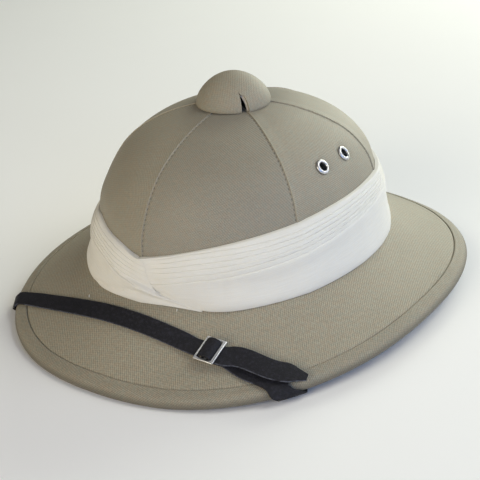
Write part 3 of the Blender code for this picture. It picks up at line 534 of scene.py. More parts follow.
def twill_group():
    """Twill: slanting ribs of crossing threads. Cloth is a place on the cloth in metres."""
    group, taken, given = effect_group(
        "Twill weave", {"Cloth": ("Vector", None), "Rib": ("Float", WALE), "Slant": ("Float", 0.9),
                        "Wander": ("Float", 0.35)},
        {"Height": "Float", "Rib tone": "Float", "Slub": "Float"})
    cloth, rib = taken["Cloth"], taken["Rib"]
    cosine, sine = taken["Slant"].maths("COSINE"), taken["Slant"].maths("SINE")
    x, y, _ = cloth.split()
    ribs = (x * cosine + y * sine) / rib + cloth.noise(160.0, 1.0) * taken["Wander"]
    rope = (y * cosine - x * sine) / rib + ribs * 0.5
    round_rib = (ribs * math.tau).maths("SINE")
    twist = (rope * (math.tau * 0.8)).maths("SINE")
    fuzz = cloth.noise(2600.0, 1.0)
    slubs = cloth.scaled((1300.0, 500.0, 1.0)).noise(1.0, 1.0)
    give(given, {"Height": round_rib * 0.34 + twist * 0.16 + fuzz * 0.5,
                 "Rib tone": (round_rib + twist * 0.5).ramp(-1.1, 1.1),
                 "Slub": slubs.ramp(0.35, 0.68)})
    return group


def muslin_group():
    """Plain weave: fine warp and weft, with a few thicker threads."""
    group, taken, given = effect_group(
        "Muslin weave", {"Cloth": ("Vector", None), "Thread": ("Float", 0.45 * MM)},
        {"Height": "Float", "Thread tone": "Float", "Slub": "Float"})
    cloth = taken["Cloth"]
    x, y, _ = cloth.split()
    warp, weft = [(part / taken["Thread"] * math.tau).maths("SINE") for part in (x, y)]
    weave = warp * weft
    fuzz = cloth.noise(2200.0, 1.0)
    slubs = cloth.scaled((60.0, 1500.0, 1.0)).noise(1.0, 1.0)
    give(given, {"Height": weave * 0.25 + slubs * 0.6 + fuzz * 0.4,
                 "Thread tone": weave.ramp(-1.0, 1.0),
                 "Slub": slubs.ramp(0.3, 0.7)})
    return group


def tone_group():
    """Colour of a dyed cloth: broad fading, smaller clouds and single threads."""
    plain = (0.3, 0.3, 0.2, 1.0)
    group, taken, given = effect_group(
        "Cloth tone", {"Place": ("Vector", None), "Colour": ("Color", plain),
                       "Warm": ("Color", plain), "Cool": ("Color", plain),
                       "Clouds": ("Float", 0.06), "Threads": ("Float", 0.1),
                       "Thread tone": ("Float", 0.5), "Slub": ("Float", 0.5)},
        {"Colour": "Color"})
    place, clouds, threads = taken["Place"], taken["Clouds"], taken["Threads"]
    broad = place.noise(14.0).ramp(0.3, 0.7)
    cloud = place.noise(70.0, 3.0, 0.6)
    fleck = place.noise(420.0, 3.0, 0.7).ramp(0.36, 0.64)
    base = blend_colour(0.5, taken["Colour"], blend_colour(fleck, taken["Warm"], taken["Cool"]))
    faded = (broad - 0.5) * clouds + (cloud - 0.5) * (clouds * 1.6)
    woven = (taken["Thread tone"] - 0.5) * threads + (taken["Slub"] - 0.5) * (threads * 0.6)
    light = faded + woven + 1.0
    shade = put(group, "ShaderNodeCombineColor", {0: light, 1: light, 2: light}).outputs[0]
    give(given, {"Colour": blend_colour(1.0, base, Field(shade), "MULTIPLY")})
    return group


def stitch_group():
    """A sewn seam. Seam is (distance from the seam, length along it) in metres: a fold, a
    sunken line beside it and the needle's holes along that line."""
    group, taken, given = effect_group(
        "Sewn seam", {"Seam": ("Vector", None), "Pitch": ("Float", STITCH_PITCH),
                      "Line": ("Float", -0.8 * MM)},
        {"Holes": "Float", "Groove": "Float", "Highlight and rub": "Float"})
    away, along, _ = taken["Seam"].split()
    off = (away - taken["Line"]).maths("ABSOLUTE")
    spot = ((along / taken["Pitch"]).maths("FRACT") - 0.5).maths("ABSOLUTE")
    fold = (away - 0.1 * MM).maths("ABSOLUTE")
    give(given, {"Holes": off.ramp(0.25 * MM, 0.5 * MM, 1.0, 0.0) * spot.ramp(0.13, 0.22, 1.0, 0.0),
                 "Groove": off.ramp(0.15 * MM, 0.6 * MM, 1.0, 0.0),
                 "Highlight and rub": fold.ramp(0.1 * MM, 0.5 * MM, 1.0, 0.0)})
    return group


def leather_group():
    """Leather grain: small cells between fine creases, and pale high spots, partly rubbed wear and
    partly painted highlight.
    """
    group, taken, given = effect_group(
        "Leather grain", {"Place": ("Vector", None), "Cells": ("Float", 1100.0)},
        {"Height": "Float", "Highlight and rub": "Float"})
    place = taken["Place"]
    cells = put(group, "ShaderNodeTexVoronoi", {"Vector": place, "Scale": taken["Cells"]},
                feature="DISTANCE_TO_EDGE").outputs["Distance"]
    give(given, {"Height": Field(cells).ramp(0.0, 0.25) + place.noise(260.0, 3.0, 0.6),
                 "Highlight and rub": place.noise(520.0, 4.0, 0.7).ramp(0.46, 0.68)})
    return group


def metal_group():
    """Plated metal: fine scratches and a slight haze."""
    group, taken, given = effect_group("Plated metal", {"Place": ("Vector", None)},
                                       {"Haze": "Float", "Scratch": "Float"})
    place = taken["Place"]
    give(given, {"Haze": place.noise(300.0, 4.0, 0.6).ramp(0.3, 0.75),
                 "Scratch": place.scaled((5000.0, 300.0, 900.0), 30.0).noise(1.0, 2.0)})
    return group


TWILL, MUSLIN, TONE = twill_group(), muslin_group(), tone_group()
SEWN, GRAIN, PLATE = stitch_group(), leather_group(), metal_group()


# ---------------------------------------------------------------- finishes: materials


def tint(colour, factor=(1.0, 1.0, 1.0)):
    """A colour times a factor for red, green and blue."""
    return tuple(c * f for c, f in zip(colour, factor)) + (1.0,)


def new_material(name, **constants):
    """A material whose constants are set on its shader's own sockets."""
    material = bpy.data.materials.new(name)
    material.use_nodes = True
    tree = material.node_tree
    shader = tree.nodes["Principled BSDF"]
    for title, value in constants.items():
        shader.inputs[title.replace("_", " ")].default_value = value
    return material, tree, shader


def use_group(tree, group, **inputs):
    """A shared effect placed in a material. Gives its outputs by name."""
    inputs = {title.replace("_", " "): value for title, value in inputs.items()}
    made = put(tree, "ShaderNodeGroup", inputs, node_tree=group)
    return {socket.name: Field(socket) for socket in made.outputs}


def own_map(tree, name):
    """The piece's own UV map."""
    return Field(put(tree, "ShaderNodeUVMap", uv_map=name).outputs[0])


def object_place(tree):
    """The place on the object, in metres."""
    return Field(put(tree, "ShaderNodeTexCoord").outputs["Object"])


def finish_shader(shader, colour, roughness, height, strength, distance):
    """Links a surface's colour, roughness and relief to its shader."""
    tree = colour.tree
    tree.links.new(colour.socket, shader.inputs["Base Color"])
    tree.links.new(roughness.socket, shader.inputs["Roughness"])
    bump = put(tree, "ShaderNodeBump", {"Height": height, "Strength": strength,
                                        "Distance": distance})
    tree.links.new(bump.outputs[0], shader.inputs["Normal"])


def twill_material(name, colour, slant=0.9, seams=False, rib=WALE, clouds=0.07, depth=0.2 * MM,
                   gloss=0.25, threads=0.36, shaded_from=None, crown_shade=False):
    """Dyed cotton twill, laid out by the piece's own cloth map. It has painted shade where the map's
    second coordinate has passed the shaded_from values. crown_shade paints shade over one gore
    and, darker, in a ring round the cap."""
    material, tree, shader = new_material(name, Roughness=0.6, Sheen_Weight=0.05,
                                          Sheen_Roughness=0.45, Specular_IOR_Level=gloss)
    cloth, place = own_map(tree, "cloth"), object_place(tree)
    weave = use_group(tree, TWILL, Cloth=cloth, Rib=rib, Slant=slant)
    tone = use_group(tree, TONE, Place=place, Colour=tint(colour),
                     Warm=tint(colour, (1.10, 0.98, 0.90)), Cool=tint(colour, (0.93, 1.03, 1.05)),
                     Clouds=clouds, Threads=threads, Thread_tone=weave["Rib tone"],
                     Slub=weave["Slub"])
    shown, height = tone["Colour"], weave["Height"]
    if seams:
        seam = own_map(tree, "seam")
        sewn = use_group(tree, SEWN, Seam=seam)
        # painted shade, partly dirt, in the seam's groove, strongest on the dark-groove seam; painted
        # shade in the needle's holes
        pressed = seam.split()[1].ramp(4.0, 5.0, 0.22, 0.85)
        shown = blend_colour(sewn["Groove"] * pressed, shown, tint(colour, (0.45, 0.43, 0.42)))
        shown = blend_colour(sewn["Holes"] * 0.6, shown, tint(colour, (0.16, 0.15, 0.14)))
        # painted highlight along the seam's fold
        shown = blend_colour(sewn["Highlight and rub"] * 0.5, shown, tint(colour, (1.35, 1.33, 1.28)))
        height = height - sewn["Holes"] * 1.5
    # painted shade: the wearer's left front gore darker all over, and darker still in a ring round
    # the cap
    if crown_shade:
        gore = (cloth.split()[0] - FRONT_PANEL).maths("ABSOLUTE").ramp(0.14, 0.2, 0.25, 0.0)
        flat = place.vector("ADD", (0.0, -AXIS_Y, 0.0)).vector("MULTIPLY", (1.0, 1.0, 0.0))
        painted_shade = flat.vector("LENGTH").ramp(24.0 * MM, 56.0 * MM, 0.32, 0.0)
        shown = blend_colour(gore + painted_shade, shown, tint(colour, (0.6, 0.61, 0.66)))
    # painted shade on the binding's lower roll, which turns down away from the light
    if shaded_from:
        painted_shade = cloth.split()[1].ramp(*shaded_from)
        shown = blend_colour(painted_shade * 0.75, shown, tint(colour, (0.42, 0.42, 0.42)))
    rough = weave["Slub"].ramp(0.0, 1.0, 0.54, 0.66, smooth=False)
    finish_shader(shader, shown, rough, height, 0.6, depth)
    return material


def cotton_material(name, colour):
    """White cotton muslin of the puggaree."""
    material, tree, shader = new_material(name, Roughness=0.85, Sheen_Weight=0.03,
                                          Sheen_Roughness=0.4, Specular_IOR_Level=0.15)
    weave = use_group(tree, MUSLIN, Cloth=own_map(tree, "cloth"))
    tone = use_group(tree, TONE, Place=object_place(tree), Colour=tint(colour),
                     Warm=tint(colour, (1.01, 0.995, 0.97)), Cool=tint(colour, (0.99, 1.003, 1.02)),
                     Clouds=0.03, Threads=0.07, Thread_tone=weave["Thread tone"],
                     Slub=weave["Slub"])
    rough = weave["Slub"].ramp(0.0, 1.0, 0.78, 0.9, smooth=False)
    finish_shader(shader, tone["Colour"], rough, weave["Height"], 0.35, 0.1 * MM)
    return material


def leather_material(name, colour):
    """Black strap leather with pale, rubbed cut edges."""
    material, tree, shader = new_material(name, Roughness=0.68, Specular_IOR_Level=0.24)
    place = object_place(tree)
    grain = use_group(tree, GRAIN, Place=place)
    edge = own_map(tree, "strap").split()[1].maths("ABSOLUTE").ramp(0.93, 0.985)
    frayed = edge * place.noise(700.0, 3.0).ramp(0.35, 0.6, 0.35, 1.0)
    # pale spots: rubbed wear, with painted highlights
    shown = blend_colour(grain["Highlight and rub"] * 0.7, tint(colour), tint(colour, (3.0, 2.9, 3.0)))
    shown = blend_colour(frayed * 0.6, shown, CUT_EDGE)
    rough = (grain["Highlight and rub"].ramp(0.0, 1.0, 0.6, 0.74, smooth=False) + edge * 0.3).maths("MINIMUM", 1.0)
    finish_shader(shader, shown, rough, grain["Height"], 0.7, 0.15 * MM)
    return material


def nickel_material(name, colour, roughness=0.36):
    """Nickel plate on the buckle, the eyelets and the rivets."""
    material, tree, shader = new_material(name, Metallic=1.0, Roughness=roughness)
    plate = use_group(tree, PLATE, Place=object_place(tree))
    shown = blend_colour(plate["Haze"] * 0.4, tint(colour), tint(colour, (0.86, 0.86, 0.87)))
    rough = plate["Haze"].ramp(0.0, 1.0, roughness - 0.05, roughness + 0.12)
    finish_shader(shader, shown, rough, plate["Scratch"], 0.06, 0.02 * MM)
    return material


KHAKI = (0.305, 0.275, 0.210)
BRIM_KHAKI = (0.328, 0.296, 0.226)
BINDING_KHAKI = (0.292, 0.264, 0.203)
SEAM_THREAD = (0.30, 0.27, 0.21)
COTTON = (0.77, 0.75, 0.69)
LINING = (0.62, 0.55, 0.44)
LEATHER, CUT_EDGE = (0.0115, 0.0115, 0.0150), (0.16, 0.17, 0.21, 1.0)
NICKEL, EYELET_NICKEL = (0.84, 0.84, 0.85), (0.60, 0.60, 0.62)

CLOTH_APART = 0.4                   # how far apart the gores lie on the crown's cloth map
FRONT_PANEL = 3 * CLOTH_APART       # where the wearer's left front gore lies on it

# with painted shade on its front gore and round the cap
crown_twill = twill_material("crown twill", KHAKI, slant=0.75, seams=True, gloss=0.5,
                             threads=0.24, depth=0.15 * MM, crown_shade=True)
cap_twill = twill_material("cap twill", KHAKI, slant=0.6, gloss=0.4, threads=0.24,
                           depth=0.15 * MM)
brim_twill = twill_material("brim twill", BRIM_KHAKI, slant=0.0)
# with painted shade on its lower roll, from 8.5 to 13 mm up its cloth map
binding_twill = twill_material("binding twill", BINDING_KHAKI, slant=0.78, clouds=0.09,
                               shaded_from=(8.5 * MM, 13.0 * MM))
thread_cotton = twill_material("seam thread", SEAM_THREAD, rib=0.4 * MM)
puggaree_cotton = cotton_material("puggaree cotton", COTTON)
lining_cotton = cotton_material("cap lining", LINING)
strap_leather = leather_material("strap leather", LEATHER)
buckle_nickel = nickel_material("buckle nickel", NICKEL)
eyelet_nickel = nickel_material("eyelet nickel", EYELET_NICKEL, 0.3)


# ---------------------------------------------------------------- camera, light and floor

CAMERA_BEARING, CAMERA_RISE, CAMERA_ROLL = 36.883, 25.438, -4.572      # degrees
CAMERA_DISTANCE, CAMERA_LENS = 0.7994, 84.96                           # metres, mm
CAMERA_AIM = (-3.034 * MM, 30.702 * MM)                                # to its right, up


def make_camera():
    """Camera at the photograph's angle."""
    turn, rise, roll = (math.radians(a) for a in (CAMERA_BEARING, CAMERA_RISE, CAMERA_ROLL))
    right = Vector((math.cos(turn), math.sin(turn), 0.0))
    back = Vector((math.sin(turn) * math.cos(rise), -math.cos(turn) * math.cos(rise),
                   math.sin(rise)))
    up = right.cross(-back)
    axes = (right * math.cos(roll) + up * math.sin(roll),
            up * math.cos(roll) - right * math.sin(roll), back)
    lens = bpy.data.cameras.new("camera")
    lens.lens = CAMERA_LENS
    lens.sensor_width = 36.0
    camera = bpy.data.objects.new("camera", lens)
    aim = right * CAMERA_AIM[0] + Vector((0.0, AXIS_Y, CAMERA_AIM[1]))
    camera.matrix_world = (Matrix.Translation(aim + back * CAMERA_DISTANCE)
                           @ Matrix(axes).transposed().to_4x4())
    bpy.context.scene.collection.objects.link(camera)
    bpy.context.scene.camera = camera


# the soft boxes. columns: name, bearing, rise (degrees), side (m), power (W), colour
LAMPS = (("front", 0.0, 20.0, 1.2, 21.2, (1.0, 0.888, 0.693)),
         ("near", 60.0, 20.0, 1.2, 10.4, (0.30, 0.51, 1.0)),
         ("side low", 120.0, 20.0, 1.2, 10.4, (0.79, 0.84, 1.0)),
         ("side high", 120.0, 50.0, 1.2, 16.2, (1.0, 0.99, 0.87)),
         ("back", 180.0, 20.0, 1.2, 27.0, (0.957, 1.0, 0.857)),
         ("over the buckle", -113.5, 63.0, 0.6, 1.2, (0.95, 0.97, 1.0)))
LAMP_DISTANCE, LAMP_AIM = 2.0, 70.0 * MM
SKY_STRENGTH, FLOOR_HALF_SIZE = 0.06, 12.0
FLOOR_GREYS = (0.93, 0.93, 0.93), (0.95, 0.95, 0.95)


def soft_box(name, bearing, rise, side, power, colour):
    """Square lamp aimed at the helmet. Its bearing is that of the side it lights."""
    turn, lift = math.radians(bearing), math.radians(rise)
    way = polar(turn, math.cos(lift), math.sin(lift))
    lamp = bpy.data.lights.new(name, "AREA")
    lamp.shape = "SQUARE"
    lamp.size = side
    lamp.energy = power
    lamp.color = colour
    box = bpy.data.objects.new(name, lamp)
    box.matrix_world = (Matrix.Translation(way * LAMP_DISTANCE + Vector((0.0, 0.0, LAMP_AIM)))
                        @ way.to_track_quat("Z", "Y").to_matrix().to_4x4())
    bpy.context.scene.collection.objects.link(box)


def make_studio():
    """Pale floor under soft lamps."""
    scene = bpy.context.scene
    world = bpy.data.worlds.new("studio")
    world.use_nodes = True
    background = world.node_tree.nodes["Background"]
    background.inputs["Color"].default_value = (1.0, 1.0, 1.0, 1.0)
    background.inputs["Strength"].default_value = SKY_STRENGTH
    scene.world = world
    scene.view_settings.view_transform = "Standard"
    for lamp in LAMPS:
        soft_box(*lamp)
    material, tree, shader = new_material("floor", Roughness=0.9, Specular_IOR_Level=0.1)
    shown = blend_colour(object_place(tree).noise(6.0), *(tint(grey) for grey in FLOOR_GREYS))
    tree.links.new(shown.socket, shader.inputs["Base Color"])
    bm = bmesh.new()
    bmesh.ops.create_grid(bm, x_segments=8, y_segments=8, size=FLOOR_HALF_SIZE)
    bmesh.ops.translate(bm, vec=(0.0, 0.0, -GAP), verts=bm.verts)
    floor = object_from("floor", bm)
    floor.data.materials.append(material)


# ---------------------------------------------------------------- crown

SEAM_COLUMNS = 20                   # columns from a gore's middle to its seam
OUTER_ROWS, INNER_ROWS = 104, 34
TOP_SWEEP = math.acos(AIR_HOLE ** (ROUND_POWER / 2.0))
MAP_RADIUS = 102.0 * MM             # the crown's radius on its cloth map, at the foot
UPPER_SIDE = {-115.0: -1.0, -62.0: -1.0, 0.0: -1.0}     # the side of a seam with the upper panel
DARK_GROOVE_SEAM, DARK_GROOVE_MARK = 115.0, 10.0                # the seam with more painted shade and dirt in its groove, and the mark that picks it out
# fuller and flatter places. columns: how proud (mm), bearing, spread, height (mm), spread
SWELLS = ((1.2, 136.0, 24.0, 95.0, 17.0), (-1.3, -58.0, 34.0, 97.0, 15.0))
TOP_HOLLOW, BAND_HOLLOW, EYELET_HOLLOW = 1.4 * MM, 0.9 * MM, 0.6 * MM
THREAD_SIZE = (0.22 * MM, 1.15 * MM, 0.16 * MM)         # half its width, length and height
SEAM_STEPS = 400                    # steps in which a seam's length is worked out


def gore_columns():
    """Bearings of the crown's columns, which stand closer towards each seam."""
    columns = []
    for low, high in zip(GORE_EDGES, GORE_EDGES[1:]):
        for i in range(2 * SEAM_COLUMNS):
            across = i / SEAM_COLUMNS - 1.0
            across = math.copysign(1.0 - (1.0 - abs(across)) ** 1.9, across)
            columns.append(mix(low, high, (across + 1.0) / 2.0))
    columns.append(180.0)
    return columns


def nearest_seam(degrees):
    """The nearest seam's bearing and the side on which its upper panel lies."""
    seam = min(GORE_EDGES, key=lambda s: abs(s - degrees))
    return seam, UPPER_SIDE.get(seam, 1.0)


def seam_relief(off, side):
    """Relief beside a seam (m). off is the distance from it, positive towards larger bearings."""
    t = off * side / MM
    if t >= 0.0:
        return (0.34 * (1.0 - ease(t, 1.0, 7.5)) + 0.16 * bell(t, 0.3, 0.5)) * MM
    return (-0.32 * bell(t, -0.75, 0.5) + 0.1 * bell(t, 0.0, 0.15)) * MM


def top_hollow(degrees):
    """How much lower than the plain crown the cloth lies round the cap."""
    return TOP_HOLLOW * (1.0 - 0.85 * bell(degrees, -78.0, 48.0))


def crown_relief(degrees, point):
    """How far the cloth stands from the plain crown."""
    seam, side = nearest_seam(degrees)
    off = math.radians(degrees - seam) * math.hypot(point.x, point.y)
    height = point.z / MM
    bare = mix(0.35, 1.0, ease(height, 62.0, 72.0))
    relief = seam_relief(off, side) * bare
    for proud, bearing, around, level, tall in SWELLS:
        relief += proud * MM * bell(degrees, bearing, around) * bell(height, level, tall)
    relief -= top_hollow(degrees) * ease(height, 108.0, 127.0)
    band = read_table(RIGHT_TOP if degrees > 0.0 else LEFT_TOP, degrees)
    relief -= BAND_HOLLOW * (1.0 - ease(height, band, band + 13.0))
    relief += 0.35 * MM * noise.noise(point * 22.0) * bare
    for bearing in EYELET_BEARINGS.values():
        centre = crown_outside(math.radians(bearing), EYELET_HEIGHT, 0.0)
        relief -= EYELET_HOLLOW * (1.0 - ease((point - centre).length, 4.2 * MM, 8.5 * MM))
    return relief


def make_crown():
    """The crown's cloth, outside and in, with a hole for each eyelet."""
    bearings = gore_columns()
    columns = len(bearings) - 1
    rows = OUTER_ROWS + INNER_ROWS + 2
    outer = [TOP_SWEEP * (i / OUTER_ROWS) ** 1.25 for i in range(OUTER_ROWS + 1)]
    inner = [TOP_SWEEP * (i / INNER_ROWS) ** 1.25 for i in range(INNER_ROWS + 1)][::-1]
    lengths = lengths_along([crown_point(1.0, sweep) for sweep in outer])

    def place(column, row):
        row %= rows
        degrees = bearings[column]
        bearing = math.radians(degrees)
        if row > OUTER_ROWS:
            return crown_point(bearing, inner[row - OUTER_ROWS - 1], CROWN_WALL)
        sweep = outer[row]
        point = crown_point(bearing, sweep)
        return point + crown_normal(bearing, sweep) * crown_relief(degrees, point)

    def row_ring(row):
        """A row's radius on the cloth map and its length from the foot."""
        row %= rows
        if row <= OUTER_ROWS:
            sweep, length = outer[row], lengths[row]
        else:
            sweep = inner[row - OUTER_ROWS - 1]
            length = lengths[-1] * (1.0 + (row - OUTER_ROWS) / INNER_ROWS)
        return math.cos(sweep) ** (2.0 / ROUND_POWER) * MAP_RADIUS, length

    def cloth(column, row, first):
        gore = first // (2 * SEAM_COLUMNS)
        middle = (GORE_EDGES[gore] + GORE_EDGES[gore + 1]) / 2.0
        ring, length = row_ring(row)
        return math.radians(bearings[column] - middle) * ring + CLOTH_APART * gore, length

    def seam(column, row, first):
        gore, within = divmod(first, 2 * SEAM_COLUMNS)
        bearing = GORE_EDGES[gore if within < SEAM_COLUMNS else gore + 1]
        ring, length = row_ring(row)
        if row > OUTER_ROWS:
            return 50.0 * MM, length
        away = math.radians(bearings[column] - bearing) * ring * nearest_seam(bearing)[1]
        return away, length + (DARK_GROOVE_MARK if bearing == DARK_GROOVE_SEAM else 0.0)

    bm = bent_grid(columns, rows, place, {"cloth": cloth, "seam": seam})
    crown = add_piece("crown_cloth", bm, crown_twill, ["crown"], sharp=55.0)
    holes = bmesh.new()
    bore = EYELET_BARREL + 0.1 * MM
    for degrees in EYELET_BEARINGS.values():
        made = bmesh.ops.create_cone(holes, cap_ends=True, segments=40, radius1=bore, radius2=bore,
                                     depth=6.0 * CROWN_WALL)
        bmesh.ops.transform(holes, matrix=eyelet_place(degrees), verts=made["verts"])
    cut_with(crown, holes)


def eyelet_place(degrees):
    """Placement on the crown's face, pointing out."""
    bearing = math.radians(degrees)
    sweep = crown_sweep(EYELET_HEIGHT)
    return upright_frame(crown_point(bearing, sweep), crown_normal(bearing, sweep))


def make_seam_stitches():
    """Thread showing between the needle's holes of the crown's seams."""
    bm = bmesh.new()
    sweeps = [TOP_SWEEP * (i / SEAM_STEPS) for i in range(SEAM_STEPS + 1)]
    rising = [crown_point(1.0, sweep) for sweep in sweeps]
    lengths = lengths_along(rising)
    for seam in SEAM_BEARINGS:
        side = nearest_seam(seam)[1]
        due = 0.0
        for sweep, level, length in list(zip(sweeps, rising, lengths))[1:]:
            if length < due:
                continue
            due = (math.floor(length / STITCH_PITCH) + 1.0) * STITCH_PITCH
            ring = math.cos(sweep) ** (2.0 / ROUND_POWER) * MAP_RADIUS
            # none under the puggaree and the cap
            if level.z < 60.0 * MM or ring < 24.0 * MM:
                continue
            bearing = math.radians(seam) - side * 0.75 * MM / ring
            point = crown_point(bearing, sweep)
            normal = crown_normal(bearing, sweep)
            point += normal * (crown_relief(math.degrees(bearing), point) + 0.02 * MM)
            upward = (crown_point(bearing, sweep + 0.01) - crown_point(bearing, sweep - 0.01))
            upward.normalize()
            axes = Matrix((upward.cross(normal), upward, normal)).transposed().to_4x4()
            add_bead(bm, Matrix.Translation(point) @ axes, THREAD_SIZE, 6, 5)
    add_piece("seam_stitches", bm, thread_cotton, sharp=80.0)


# ---------------------------------------------------------------- cap


# the notch's outline. columns: across, up from the cap's foot (mm)
NOTCH_OUTLINE = ((-4.5, -6.0), (1.0, -6.0), (1.0, 0.0), (0.92, 1.9), (0.7, 3.8), (0.43, 5.6),
                 (0.1, 7.3), (-0.15, 8.3), (-0.5, 9.2), (-1.1, 9.9), (-1.9, 10.3), (-2.8, 10.5),
                 (-3.1, 11.4), (-3.3, 12.6), (-3.45, 11.4), (-3.5, 10.4), (-3.7, 8.0), (-4.0, 5.0),
                 (-4.3, 2.0), (-4.5, 0.0))
# the lining's edge inside it. columns: up from the cap's foot, its left side, its right side (mm)
LINING_EDGE = ((-0.9, 0.1, 1.5), (1.9, -0.1, 1.4), (3.8, -0.5, 1.2), (5.6, -1.0, 0.9),
               (7.3, -1.6, 0.5), (8.6, -2.2, 0.0), (9.6, -2.8, -0.7))
LINING_DEPTH = (2.35, 3.1)          # from the cap's outside to its front and back (mm)
NOTCH_AT = CAP_RADIUS + 6.0 * MM    # where the notch's cutter starts, outside the cap
CUFF = 8.0 * MM                     # the cap's lowest stretch, which follows the crown


def make_cap():
    """Cloth-covered dome over the air hole, open in a notch at its foot."""
    outer_rows, inner_rows, columns = 46, 16, 120

    def dome(share, radius, rise):
        sweep = math.pi / 2.0 * share
        flat = radius * max(0.0, math.cos(sweep)) ** (2.0 / CAP_POWER)
        return flat, CAP_FOOT + rise * math.sin(sweep) ** (2.0 / CAP_POWER)

    def profile(row):
        if row <= outer_rows:
            return dome(1.0 - row / outer_rows, CAP_RADIUS, CAP_RISE)
        share = (row - outer_rows - 1) / inner_rows
        return dome(share, CAP_RADIUS - CAP_WALL, CAP_RISE - CAP_WALL)

    lengths = lengths_along([Vector(profile(row)) for row in range(outer_rows + inner_rows + 2)])

    def place(column, row):
        bearing = math.tau * column / columns
        radius, height = profile(row)
        point = polar(bearing, radius, height)
        if height < CAP_FOOT + CUFF:
            foot = crown_height(point.x, point.y) + GAP - 0.85 * top_hollow(wrapped(bearing))
            point.z += (foot - CAP_FOOT) * (1.0 - ease(height, CAP_FOOT, CAP_FOOT + CUFF))
        if row <= outer_rows:
            swell = 0.25 * MM * noise.noise(point * 60.0)
            tuck = -0.35 * MM * (1.0 - ease(height - CAP_FOOT, 0.0, 0.9 * MM))
            point += polar(bearing, 1.0, 0.0) * (swell * ease(radius, 0.0, 8.0 * MM) + tuck)
        return point

    def cloth(column, row, first):
        return polar(math.tau * column / columns, lengths[row], 0.0).xy

    bm = bent_grid(columns, outer_rows + inner_rows + 1, place, {"cloth": cloth})
    cap = add_piece("vent_cap_cloth", bm, cap_twill, ["vent_cap"], sharp=45.0)
    spot = (Matrix.Translation(polar(math.radians(NOTCH_BEARING), NOTCH_AT, CAP_FOOT))
            @ Matrix.Rotation(math.radians(NOTCH_BEARING), 4, "Z"))
    notch = bmesh.new()
    face = notch.faces.new([notch.verts.new((across * MM, 0.0, up * MM))
                            for across, up in NOTCH_OUTLINE])
    grown = bmesh.ops.extrude_face_region(notch, geom=[face])
    moved = [item for item in grown["geom"] if isinstance(item, bmesh.types.BMVert)]
    bmesh.ops.translate(notch, verts=moved, vec=(0.0, 24.0 * MM, 0.0))
    bmesh.ops.transform(notch, matrix=spot, verts=notch.verts)
    cut_with(cap, notch)
    make_lining_edge(spot)


def make_lining_edge(spot):
    """Pale edge of the cap's lining, showing inside the right lip of the notch."""

    def place(column, row):
        up, left, right = LINING_EDGE[column]
        across = (left if row % 4 in (0, 3) else right) * MM
        depth = LINING_DEPTH[0 if row % 4 in (0, 1) else 1] * MM
        sweep = math.asin(min(1.0, (max(0.0, up) * MM / CAP_RISE) ** (CAP_POWER / 2.0)))
        radius = CAP_RADIUS * math.cos(sweep) ** (2.0 / CAP_POWER) - depth
        return Vector((across, NOTCH_AT - math.sqrt(radius ** 2 - across ** 2), up * MM))

    bm = bent_grid(len(LINING_EDGE) - 1, 4, place)
    close_ends(bm)
    add_piece("vent_cap_lining", bm, lining_cotton, sharp=40.0, place=spot)


# ---------------------------------------------------------------- brim and binding


BRIM_COLUMNS, BRIM_ROWS_ABOVE, BRIM_ROWS_BELOW = 240, 44, 14
HEM = BINDING_WIDTH + 0.35 * MM     # where the binding's inner edge leaves the brim's face
# the brim's step down to its sunken edge. columns: inset from the hem, depth (mm)
HEM_STEP = ((-0.1, 1.3), (0.0, 0.6), (0.12, 0.22), (0.4, 0.02))
HEM_ROUNDED = 0.9 * MM
CLOTH_TURN = 36.883                 # how the brim's cloth is turned (degrees)


def make_brim():
    """Cloth-covered brim, from inside its binding to the head opening."""

    def section(bearing):
        rim, foot = rim_radius(bearing), foot_radius(bearing)
        step = rim - HEM
        nose = rim - BINDING_WALL - GAP
        line = [(nose, brim_top(bearing, nose) - BINDING_TOP - GAP)]
        line += [(step - inset * MM, brim_top(bearing, step) - depth * MM)
                 for inset, depth in HEM_STEP]
        for i in range(BRIM_ROWS_ABOVE + 1):
            radius = mix(step - HEM_ROUNDED, foot + 0.2 * MM, i / BRIM_ROWS_ABOVE)
            line.append((radius, brim_top(bearing, radius)))
        mouth, under, soft = foot - CROWN_WALL, FOOT_HEIGHT - FOOT_THICKNESS, 0.5 * MM
        line += [(foot, FOOT_HEIGHT), (mouth + soft, FOOT_HEIGHT), (mouth, FOOT_HEIGHT - soft),
                 (mouth, under + soft), (mouth + soft, under)]
        for i in range(BRIM_ROWS_BELOW + 1):
            radius = mix(foot, step, i / BRIM_ROWS_BELOW)
            thickness = mix(FOOT_THICKNESS, BRIM_THICKNESS, ease(i, 0, 4))
            line.append((radius, brim_top(bearing, radius) - thickness))
        line.append((nose, brim_top(bearing, nose) - BRIM_THICKNESS + 0.4 * MM))
        return line

    bearings = [math.tau * i / BRIM_COLUMNS for i in range(BRIM_COLUMNS)]
    sections = [section(b) for b in bearings]
    rows = len(sections[0])
    face = range(len(HEM_STEP) + 2, len(HEM_STEP) + 1 + BRIM_ROWS_ABOVE)

    def place(column, row):
        bearing = bearings[column % BRIM_COLUMNS]
        radius, height = sections[column % BRIM_COLUMNS][row % rows]
        point = polar(bearing, radius, height)
        if row in face:
            rim, foot = rim_radius(bearing), foot_radius(bearing)
            free = ease(rim - radius, 10.0 * MM, 20.0 * MM) * ease(radius - foot, 6.0 * MM, 14.0 * MM)
            point.z += 0.22 * MM * free * noise.noise(point * 26.0)
        return point

    def cloth(column, row, first):
        point = place(column, row)
        turn = math.radians(CLOTH_TURN)
        return (point.x * math.cos(turn) + point.y * math.sin(turn),
                point.y * math.cos(turn) - point.x * math.sin(turn))

    bm = bent_grid(BRIM_COLUMNS, rows, place, {"cloth": cloth})
    add_piece("brim_cloth", bm, brim_twill, ["brim"], sharp=50.0)


